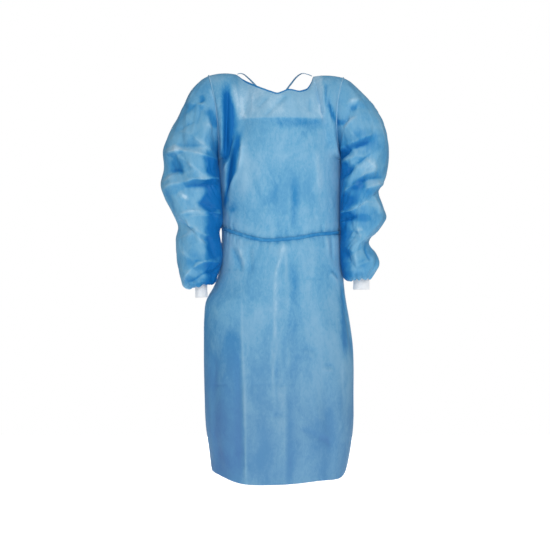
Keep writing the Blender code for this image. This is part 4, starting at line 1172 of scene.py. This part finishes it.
def sleeve(name, node, rows, side, creases, shades, seed):
    """Rings from the armhole to the wrist. The front view's creases lie on both sides, lower behind."""
    distance = np.linspace(0, 1, SLEEVE_RINGS + 1)[:, None] * SLEEVE_LENGTH
    round_share, grid = tube_grid(rows, distance, SLEEVE_COLUMNS)
    turn = -side
    to_inside = np.abs(round_share)
    grid[..., 0] -= side * PRESSED * smooth(to_inside, *PRESSED_INSIDE) * between(distance, *PRESSED_ALONG)
    out = normals(grid, closed=True) * turn
    x = grid[..., 0] / MM
    z = grid[..., 2] / MM
    folds = crease_depth(round_share * SLEEVE_HALF_ROUND / MM, distance / MM, SLEEVE_FOLDS)
    folds *= FOLD_SHARE * between(distance, *FOLDS_ALONG) * (1 - smooth(to_inside, *FOLDS_INSIDE))
    ahead = between(-round_share, *HALF_ROUND)
    behind = between(round_share, *HALF_ROUND)
    away = between(distance, *PLANES_ALONG)
    outline = [(row[1], row[3]) for row in rows] + [(row[4], row[6]) for row in rows]
    front_planes, front_falls = film_planes(x, z, creases, outline)
    back_planes, back_falls = film_planes(x, z + BEHIND_LOWER, creases, outline)
    planes = soften(FILM_RISE * (front_planes * ahead + back_planes * behind) * away, 1, True)
    falls = soften((front_falls * ahead + back_falls * behind) * away, 1, True)
    thin = [(*line[:5], line[5] * THIN, *line[6:]) for line in creases]
    lines = -LINE_IN_FRONT * crease_depth(x, z, thin) * ahead
    lines -= LINE_BEHIND * crease_depth(x, z + BEHIND_LOWER, thin) * behind
    crumpled = 0
    for cells, long, turned, height, number in SLEEVE_CRUMPLE:
        places = round_share * cells / 2 + cells / 2 + distance / MM * turned
        net = facets(places, distance / MM / long, seed + number, cells)
        crumpled = crumpled + height * soften(net, 1, True)
    fine = (planes + crumpled) * MM * (1 - smooth(to_inside, *FINE_INSIDE)) + lines * away
    puffs = np.sin(round_share * math.pi * PUFFS_ROUND + 1.4 * np.sin(round_share * math.pi * 3 + seed))
    fine = (fine + PUFF_RISE * puffs * between(distance, *PUFFS_ALONG)) * between(distance, *FINE_ALONG)
    outer = grid - out * folds[..., None]
    outer = outer + normals(outer, closed=True) * turn * fine[..., None]
    outer[0, :, 0] += side * SEAM_GAP / 2
    # Painted light and shade: paler where film faces up and creases stand out, deeper where it faces down
    # and beside the body.
    tone = light_and_shade_share(falls, FALL_MOST, FALL_LIGHT_AND_SHADE) + light_and_shade_share(lines * away / MM, 3, LINE_LIGHT_AND_SHADE)
    tone += light_and_shade_share(crumpled, 4, CRUMPLE_LIGHT_AND_SHADE)
    tone -= BESIDE_BODY_DEEPER * smooth(-np.abs(x), *BESIDE_BODY_X) * smooth(-z, *BESIDE_BODY_Z)
    tone += shade(x, z, shades, 3) * ahead + SHADES_BEHIND * shade(x, z + SHADES_LOWER, shades, 3) * behind
    flat = tube_cloth(round_share, SLEEVE_HALF_ROUND, distance)
    piece = cloth_mesh(name, outer[:, ::turn], flat, True, tone=tone[:, ::turn])
    thicken(piece, CLOTH)
    finish(piece, SLEEVE_CLOTH)
    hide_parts(node)


sleeve("sleeve_cloth_left", "sleeve_left", SLEEVE_LEFT, -1, LEFT_CREASES, LEFT_SHADES, 21)
sleeve("sleeve_cloth_right", "sleeve_right", SLEEVE_RIGHT, 1, RIGHT_CREASES, RIGHT_SHADES, 31)

# ------------------------------------------------------------------------------------------------
# Cuffs
# Short tubes of white rib knit, sewn inside the sleeve ends. They are soft and cling to the wrist.

# A cuff's lower end, with the columns of the sleeves' tables.
CUFF_END_LEFT = (-196, -58, -621, -231, -58, -623, 23, 0)
CUFF_END_RIGHT = (209, -57, -600, 255, -57, -600, 18, 0)
CUFF_INSIDE = 8 * MM         # the cuff's top edge is sewn in above the sleeve's mouth
CUFF_CLEAR = 0.6 * MM        # space between the cuff and the sleeve's mouth round it
CUFF_WALL = 1.5 * MM
CUFF_STEPS = 5               # rows of the cuff's own table
CUFF_RINGS = 20
CUFF_COLUMNS = 216
CUFF_RIBS = 36
RIB_DEPTH = 0.45 * MM
SLACK = 0.5 * MM             # the loose lower edge waves in and out by this
SLACK_WAVES = 5
STITCH = 0.0014
KNIT_WIDTH = 1.4             # flat cloth of half a cuff, in widths of the sleeve's mouth
KNIT_STEP = 8 * MM           # and of each step along it


def knit_material(name):
    """White rib knit: tiny rows of stitches in bump, and a white that clouds a little towards grey."""
    material, tree, shader = new_material(name)
    place = add_node(tree, "TexCoord").outputs
    stitches = add_node(tree, "Group", {"Vector": place["UV"], "Spacing": STITCH}, node_tree=BOND_POINTS)
    cloud = add_node(tree, "TexNoise", {"Vector": place["Object"], "Scale": 90.0, "Detail": 3.0})
    colour = add_node(tree, "Mix", {0: cloud.outputs[0], 6: (0.76, 0.79, 0.83, 1), 7: (0.86, 0.88, 0.90, 1)},
                      data_type="RGBA")
    bump = add_node(tree, "Bump", {"Height": stitches.outputs[0], "Strength": 0.6, "Distance": 0.0003})
    feed(tree, shader, {"Base Color": colour.outputs[2], "Normal": bump.outputs[0], "Roughness": 0.9,
                        "Sheen Weight": 0.3})
    return material


KNIT = knit_material("rib_knit")


def cuff(name, node, rows, end, side):
    """Tube from inside the sleeve's mouth to its lower edge, with ribs as a cosine round it."""
    mouth = np.array(rows[-1][1:], dtype=float)
    end = np.array(end, dtype=float)
    top = mouth + (mouth - end) * (CUFF_INSIDE / MM / abs(mouth[2] - end[2]))
    top[6] = mouth[6]
    step = np.linspace(0, CUFF_STEPS, CUFF_STEPS + 1)[:, None]
    table = np.concatenate([step, end + (top - end) * step / CUFF_STEPS], axis=1)
    step = np.linspace(0, CUFF_STEPS, CUFF_RINGS + 1)[:, None]
    round_share, grid = tube_grid(table, step * MM, CUFF_COLUMNS)
    out = normals(grid, closed=True) * side
    ribs = RIB_DEPTH * (np.cos(round_share * math.pi * CUFF_RIBS) - 1)
    slack = SLACK * np.sin(round_share * math.pi * SLACK_WAVES + step * 0.9) * (1 - step / CUFF_STEPS)
    outer = grid + out * (ribs + slack - CUFF_CLEAR)[..., None]
    flat = tube_cloth(round_share, KNIT_WIDTH * abs(mouth[3] - mouth[0]) * MM, step * KNIT_STEP)
    piece = cloth_mesh(name, outer[:, ::side], flat, True)
    thicken(piece, CUFF_WALL)
    finish(piece, KNIT)
    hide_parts(node)


cuff("cuff_knit_left", "cuff_left", SLEEVE_LEFT, CUFF_END_LEFT, -1)
cuff("cuff_knit_right", "cuff_right", SLEEVE_RIGHT, CUFF_END_RIGHT, 1)

# ------------------------------------------------------------------------------------------------
# Seams
# The pieces are sewn edge to edge with a narrow seam that stands out as a thin ridge, painted
# paler as a highlight: round each armhole, over the shoulders and down the sides.

SEAM_WIDTH = 4.2 * MM        # of the seams round the armholes
SEAM_THICK = 4.0 * MM
SEAM_OUT = 1.2 * MM
SIDE_SEAM_WIDTH = 2.4 * MM
SIDE_SEAM_OUT = 0.4 * MM
SHOULDER_SEAM_WIDTH = 2.0 * MM
NARROW_SEAM_THICK = 1.2 * MM
TAPE_ROUND = 16              # corners of a strip's section
TAPE_CELLS = 6               # facets round a strip, and their length in millimetres
TAPE_CELL_LONG = 7
TAPE_ENDS = (-1 * MM, 2 * MM)    # a strip widens over this from each end
# painted light on the strips' bulges and painted shade in their dips
TAPE_LIGHT_AND_SHADE = 0.25
ARMHOLE_UNEVEN = 0.25 * MM   # how far the facets make a strip uneven
NARROW_UNEVEN = 0.15 * MM
# The seams are of the same cloth, painted paler as a highlight along their ridges.
SEAM_CLOTH_PAINTED_HIGHLIGHT = coated_cloth("coated_cloth_seams", 0.76, 0.2, 0.55, 0.0008, 60.0, 0.05)


def travelled_along(points):
    """Distance from a path's start to each of its points."""
    return np.concatenate([[0], np.cumsum(np.linalg.norm(np.diff(points, axis=0), axis=1))])


def tape(name, middle, face, width, thick, seed, crumpled, material, paler=0.0):
    """Folded strip along a path: a flat rounded section, its wide side square to the face direction.

    The section is a superellipse, and facets make it a little uneven along its length.
    """
    along = unit(np.gradient(middle, axis=0))
    sideways = unit(np.cross(along, face))
    out = np.cross(sideways, along)
    turn = np.linspace(0, 2 * math.pi, TAPE_ROUND + 1)[None, :-1]
    travelled = travelled_along(middle)[:, None]
    cells = turn / (2 * math.pi) * TAPE_CELLS
    net = facets(cells, travelled / MM / TAPE_CELL_LONG, seed, TAPE_CELLS)
    uneven = crumpled * soften(net, 1, True)
    ends = smooth(np.minimum(travelled, travelled[-1] - travelled), *TAPE_ENDS)
    across = np.sign(np.cos(turn)) * np.abs(np.cos(turn)) ** 0.75 * (width / 2 + uneven) * (0.6 + 0.4 * ends)
    through = np.sin(turn) * (thick / 2 * (0.5 + 0.5 * ends)) + uneven * np.sin(turn) * 0.8
    points = middle[:, None] + sideways[:, None] * across[..., None] + out[:, None] * through[..., None]
    flat = tube_cloth(turn / (2 * math.pi), 2 * width, travelled)
    # The tone: painted highlights on bulges, painted shade in dips, and paler as painted light all over.
    piece = cloth_mesh(name, points, flat, True, True, tone=paler + light_and_shade_share(uneven / MM, 1, TAPE_LIGHT_AND_SHADE))
    finish(piece, material)
    return piece


def even_path(points, step):
    """Points a step apart along a bent line, on straight runs between the given ones."""
    travelled = travelled_along(points)
    at = np.linspace(0, travelled[-1], max(int(travelled[-1] / step), 4))
    return np.stack([np.interp(at, travelled, points[:, axis]) for axis in range(3)], axis=1)


def rounded_path(points, step, times):
    """Even points along a line, each moved some times to the mean of itself and its neighbours."""
    path = even_path(points, step)
    for _ in range(times):
        path[1:-1] = (path[:-2] + 2 * path[1:-1] + path[2:]) / 4
    return path


def armhole_seam(name, front_edge, back_edge, seed):
    """Ridge up the front of an armhole, over the shoulder and down behind, out from its centre line."""
    path = rounded_path(np.concatenate([front_edge, back_edge[::-1]]), 4 * MM, 12)
    out = unit(path * (0, 1, 1) - (0, 0, UNDERARM / 2))
    face = np.cross(out, np.gradient(path, axis=0))
    tape(name, path + out * SEAM_OUT, face, SEAM_WIDTH, SEAM_THICK, seed, ARMHOLE_UNEVEN,
         SEAM_CLOTH_PAINTED_HIGHLIGHT)


def narrow_seam(name, path, width, seed):
    """Thin ridge along a path, its wide side square to y."""
    tape(name, path, np.array((0, 1.0, 0)), width, NARROW_SEAM_THICK, seed, NARROW_UNEVEN,
         SEAM_CLOTH_PAINTED_HIGHLIGHT)


arm_rows = slice(side_rows - 1, None)
armhole_seam("armhole_seam_left", front_outer[arm_rows, 0], left_outer[arm_rows, 0], 41)
armhole_seam("armhole_seam_right", front_outer[arm_rows, -1], right_outer[arm_rows, 0], 42)
for name, edge, way in (("side_seam_left", front_outer[:side_rows, 0], -1),
                        ("side_seam_right", front_outer[:side_rows, -1], 1)):
    narrow_seam(name, rounded_path(edge, 5 * MM, 6) + (SIDE_SEAM_OUT * way, 0, 0), SIDE_SEAM_WIDTH, 43)
for name, edge in (("shoulder_seam_left", front_outer[-1, :FRONT_LEFT_COLUMNS + 1]),
                   ("shoulder_seam_right", front_outer[-1, -FRONT_RIGHT_COLUMNS - 1:])):
    narrow_seam(name, rounded_path(edge, 4 * MM, 4), SHOULDER_SEAM_WIDTH, 44)

# ------------------------------------------------------------------------------------------------
# Neck binding and neck ties
# A folded strip of the same cloth is sewn over the neckline. Its ends carry on from the neck points
# as two narrow ties, which meet behind the neck in a small bow.

BINDING_WIDTH = 5.6 * MM
BINDING_THICK = 2.4 * MM
BINDING_UP = 2.2 * MM     # its middle lies above the neckline and a little inside the cloth
BINDING_IN = 0.3 * MM
NECK_TIE_WIDTH = 5 * MM
NECK_TIE_THICK = 1.8 * MM
BINDING_UNEVEN = 0.4 * MM # how far the facets make a strip uneven
TIE_UNEVEN = 0.45 * MM
NECK_STRAND_FACES = ((0.0, 0.25, 1.0), (0.0, 1.0, 0.35))     # where it starts and at the knot
NECK_STRAND_TWIST = (0.15, 0.7)                              # share along it where it twists
# Painted light: the neck ties are painted paler against the shade on their undersides.
NECK_STRAND_PAINTED_LIGHT = 0.4
BOW_FACE = (0.0, 1.0, 0.0)
NECK_STRANDS = (
    ("neck_tie_left", (
        (-115, 4, 12), (-107, 10, 14.5), (-98, 20, 14), (-84, 42, 6),
        (-64, 68, -10), (-42, 89, -26), (-17, 102, -36))),
    ("neck_tie_right", (
        (97, 4, 6), (84, 9, 12), (69, 18, 16), (54, 38, 10),
        (38, 62, -6), (20, 87, -25), (2, 101, -36))),
)
NECK_KNOT = (-8, 104, -38)
NECK_KNOT_SIZE = (8, 6, 7)
NECK_BOW = (
    ("neck_loop_left", (
        (-9, 3, -1), (-24, 7, -1), (-40, 8, -14), (-36, 7, -34), (-24, 6, -30), (-8, 3, -7))),
    ("neck_loop_right", (
        (9, 3, -2), (26, 7, -3), (40, 8, -18), (33, 7, -36), (22, 6, -28), (8, 3, -8))),
    ("neck_end_left", (
        (-2, -1, -9), (-8, -1, -40), (-16, 1, -85), (-13, 2, -130))),
    ("neck_end_right", (
        (6, -1, -9), (11, -1, -44), (10, 1, -95), (16, 2, -150))),
)
KNOT_ROUND = 48           # grid of a knot
KNOT_RISE = 26
KNOT_SWELL = 1.12         # the strips swell it until its loops and ends meet it
GROOVE_PAINTED_SHADE = 1.5         # its grooves get painted shade, deeper by this times their depth
TIE_CLOTH = coated_cloth("coated_cloth_ties", 0.26, 0.3, 0.5, 0.0008, 60.0, 0.08)


def smooth_path(points, step):
    """Even points on a smooth curve through a few chosen ones, given in millimetres."""
    rows = [(number, *point) for number, point in enumerate(points)]
    curve = read_table(rows, np.linspace(0, len(points) - 1, 40 * len(points)))
    return even_path(np.stack(curve, axis=1) * MM, step)


def tie_strip(name, path, face, width, thick, seed, paler=0.0):
    """One stretch of a tie: a tape whose two sides lie folded on each other."""
    piece = tape(name + "_tape", path, face, width, thick, seed, TIE_UNEVEN, TIE_CLOTH, paler)
    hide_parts(name)


def knot(name, centre, size, seed):
    """Knot: an egg of longitudes and latitudes, grooved where the strips cross and unevenly crumpled."""
    turn = np.linspace(0, 2 * math.pi, KNOT_ROUND + 1)[None, :-1]
    rise = np.linspace(-math.pi / 2, math.pi / 2, KNOT_RISE + 1)[1:-1, None]
    groove = 1 - 0.16 * np.abs(np.sin(1.5 * turn + 1.2 * rise)) ** 6
    groove = groove - 0.10 * np.abs(np.cos(2 * turn - rise)) ** 8
    round_share = turn / (2 * math.pi)
    radius = groove + 0.10 * soften(facets(round_share * 6, rise * 3 + 6, seed, 6), 1, True)
    shape = np.stack([radius * np.cos(rise) * np.cos(turn), radius * np.cos(rise) * np.sin(turn),
                      radius * np.sin(rise)], axis=-1)
    points = shape * np.array(size) * KNOT_SWELL * MM + centre
    flat = tube_cloth(round_share, 2 * math.pi * size[0] * MM, rise * size[2] * MM)
    # Painted shade in the grooves.
    piece = cloth_mesh(name + "_tape", points, flat, True, True, tone=(groove - 1) * GROOVE_PAINTED_SHADE)
    finish(piece, TIE_CLOTH)
    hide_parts(name)


neck_columns = slice(FRONT_LEFT_COLUMNS, FRONT_LEFT_COLUMNS + FRONT_NECK_COLUMNS + 1)
neck_edge = front_outer[-1, neck_columns]
neck_out = normals(front_outer)[-1, neck_columns]
neck_out[0] = neck_out[1]
neck_out[-1] = neck_out[-2]
neck_up = unit(np.cross(neck_out, np.gradient(neck_edge, axis=0)))
binding_path = neck_edge + neck_up * BINDING_UP - neck_out * BINDING_IN
binding = tape("binding_tape", binding_path, neck_out, BINDING_WIDTH, BINDING_THICK, 51,
               BINDING_UNEVEN, TIE_CLOTH)
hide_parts("neck_binding")
for seed, (name, points) in enumerate(NECK_STRANDS):
    path = smooth_path(points, 3 * MM)
    twist = smooth(np.linspace(0, 1, len(path)), *NECK_STRAND_TWIST)[:, None]
    faces = np.array(NECK_STRAND_FACES[0]) * (1 - twist) + np.array(NECK_STRAND_FACES[1]) * twist
    tie_strip(name, path, faces, NECK_TIE_WIDTH, NECK_TIE_THICK, 52 + seed,
              NECK_STRAND_PAINTED_LIGHT)
knot("neck_knot", np.array(NECK_KNOT) * MM, NECK_KNOT_SIZE, 54)
for seed, (name, points) in enumerate(NECK_BOW):
    path = smooth_path(points, 3 * MM) + np.array(NECK_KNOT) * MM
    tie_strip(name, path, BOW_FACE, NECK_TIE_WIDTH, NECK_TIE_THICK, 55 + seed)

# ------------------------------------------------------------------------------------------------
# Waist tie
# One long strip of the same cloth goes round the waist. It is crumpled lengthways where it pulls
# the gown in, and is tied in a bow behind.

TIE_THICK = 2.6 * MM
TIE_LIFT = 0.4 * MM       # space between the tie and the gown
WAIST_MIDDLE = 10 * MM    # the gown's middle at the waist, to the right of the frame's
KNOT_SIZE = (12, 8, 10)
KNOT_CLEAR = 0.6 * MM
KNOT_HEIGHT = -432 * MM
WAIST_BOW = (
    # the knot's middle is at 0; x, distance off the back, height
    ("waist_loop_left", (
        (-14, 9, 5), (-34, 10, 7), (-58, 9, -2), (-70, 9, -20),
        (-58, 9, -36), (-38, 10, -28), (-14, 9, -8))),
    ("waist_loop_right", (
        (14, 9, 4), (36, 10, 4), (60, 9, -8), (68, 9, -27),
        (54, 9, -40), (34, 10, -30), (14, 9, -9))),
    ("waist_end_left", (
        (-5, 4, -12), (-12, 6, -40), (-20, 4.5, -90), (-18, 4, -150), (-24, 4, -225))),
    ("waist_end_right", (
        (7, 4, -12), (14, 6, -45), (12, 4.5, -100), (22, 4, -160), (20, 4, -250))),
)


def on_back(x, height, lift):
    """Point that far outside the gown's back at an x and a height."""
    left, right, _, back, squareness = read_table(BODY, height / MM)
    share = np.abs((x / MM - (left + right) / 2) / ((right - left) / 2))
    depth = back * MM * (1 - share ** squareness) ** (1 / squareness)
    return np.stack([x, depth + lift, height], axis=-1)


def tie_row(outer, turn):
    """Middle of the tie on a panel, and the way out there, from its lower and upper rows."""
    rows = slice(SKIRT_ROWS, SKIRT_ROWS + 2)
    return outer[rows].mean(axis=0), (normals(outer)[rows] * turn).mean(axis=0)


front_row, front_way = tie_row(front_outer, 1)
left_row, left_way = tie_row(left_outer, -1)
right_row, right_way = tie_row(right_outer, 1)
from_knot = np.flatnonzero(right_row[:, 0] > KNOT_SIZE[0] * MM)[::-1]
on_left = np.flatnonzero(left_row[:, 0] < -LAP_START + LAP_EASE)[1:]
to_knot = np.flatnonzero(right_row[:, 0] < -KNOT_SIZE[0] * MM)[::-1]
round_waist, out_of_waist = (
    np.concatenate([right[from_knot], front[::-1][1:], left[on_left], right[to_knot]])
    for right, front, left in ((right_row, front_row, left_row), (right_way, front_way, left_way)))
waist_path = rounded_path(round_waist + out_of_waist * (TIE_LIFT + TIE_THICK / 2), 4 * MM, 3)
waist_face = unit(waist_path * (1, 1, 0) - (WAIST_MIDDLE, 0, 0))
tie_strip("waist_tie", waist_path, waist_face, TIE_WIDTH, TIE_THICK, 61)
knot_middle = on_back(0.0, np.array(KNOT_HEIGHT), KNOT_SIZE[1] * MM + KNOT_CLEAR)
knot("waist_knot", knot_middle, KNOT_SIZE, 62)
for seed, (name, points) in enumerate(WAIST_BOW):
    x, off_back, height = smooth_path(points, 4 * MM).T
    path = on_back(x, height + knot_middle[2], off_back)
    tie_strip(name, path, BOW_FACE, TIE_WIDTH, TIE_THICK, 63 + seed)

# ------------------------------------------------------------------------------------------------
# Floor, lights and camera
# A pale floor under the gown, and soft lights: the key above the camera on its right, one beside the
# camera, one at the left and one behind. The room is white.

FLOOR_HEIGHT = -1.36
FLOOR_HALF = 2.4
CAMERA_PLACE = (-0.0085, -3.2, -0.5595)
CAMERA_LENS = 73.75
ROOM_LIGHT = 0.22

floor_mesh = bpy.data.meshes.new("floor")
floor_corners = np.array(((-1, -1, 0), (1, -1, 0), (1, 1, 0), (-1, 1, 0))) * FLOOR_HALF
floor_mesh.from_pydata((floor_corners + (0, 0, FLOOR_HEIGHT)).tolist(), [], [(0, 1, 2, 3)])
floor = bpy.data.objects.new("floor", floor_mesh)
bpy.context.scene.collection.objects.link(floor)
floor_paint, floor_tree, floor_shader = new_material("floor_paint")
feed(floor_tree, floor_shader, {"Base Color": (0.93, 0.93, 0.93, 1), "Roughness": 0.9,
                                "Emission Color": (1, 1, 1, 1), "Emission Strength": 0.62})
floor_mesh.materials.append(floor_paint)

world = bpy.data.worlds.new("studio")
bpy.context.scene.world = world
world.use_nodes = True
seen = add_node(world.node_tree, "LightPath").outputs["Is Camera Ray"]
strength = add_node(world.node_tree, "MapRange", {"Value": seen, "To Min": ROOM_LIGHT, "To Max": 1.0})
feed(world.node_tree, world.node_tree.nodes["Background"],
     {"Color": (1, 1, 1, 1), "Strength": strength.outputs[0]})


def soft_light(name, place, aim, size, power):
    """Square soft light at a place, turned to its aim."""
    lamp = bpy.data.lights.new(name, "AREA")
    lamp.size = size
    lamp.energy = power
    light = bpy.data.objects.new(name, lamp)
    bpy.context.scene.collection.objects.link(light)
    way = np.array(aim) - np.array(place)
    light.location = place
    turn = math.atan2(way[1], way[0]) - math.pi / 2
    light.rotation_euler = (math.atan2(math.hypot(way[0], way[1]), -way[2]), 0, turn)


soft_light("light_key", (0.7, -2.3, 1.05), (0, 0, -0.4), 1.7, 43)
soft_light("light_front", (-0.2, -3.4, -0.4), (0, 0, -0.6), 1.0, 13)
soft_light("light_left", (-2.2, -1.2, 0.3), (0, 0, -0.5), 0.9, 6)
soft_light("light_behind", (0.0, 3.2, -0.2), (0, 0, -0.5), 1.8, 60)

camera_data = bpy.data.cameras.new("camera")
camera_data.lens = CAMERA_LENS
camera = bpy.data.objects.new("camera", camera_data)
camera.location = CAMERA_PLACE
camera.rotation_euler = (math.pi / 2, 0, 0)
bpy.context.scene.collection.objects.link(camera)
bpy.context.scene.camera = camera
bpy.context.scene.view_settings.view_transform = "Standard"
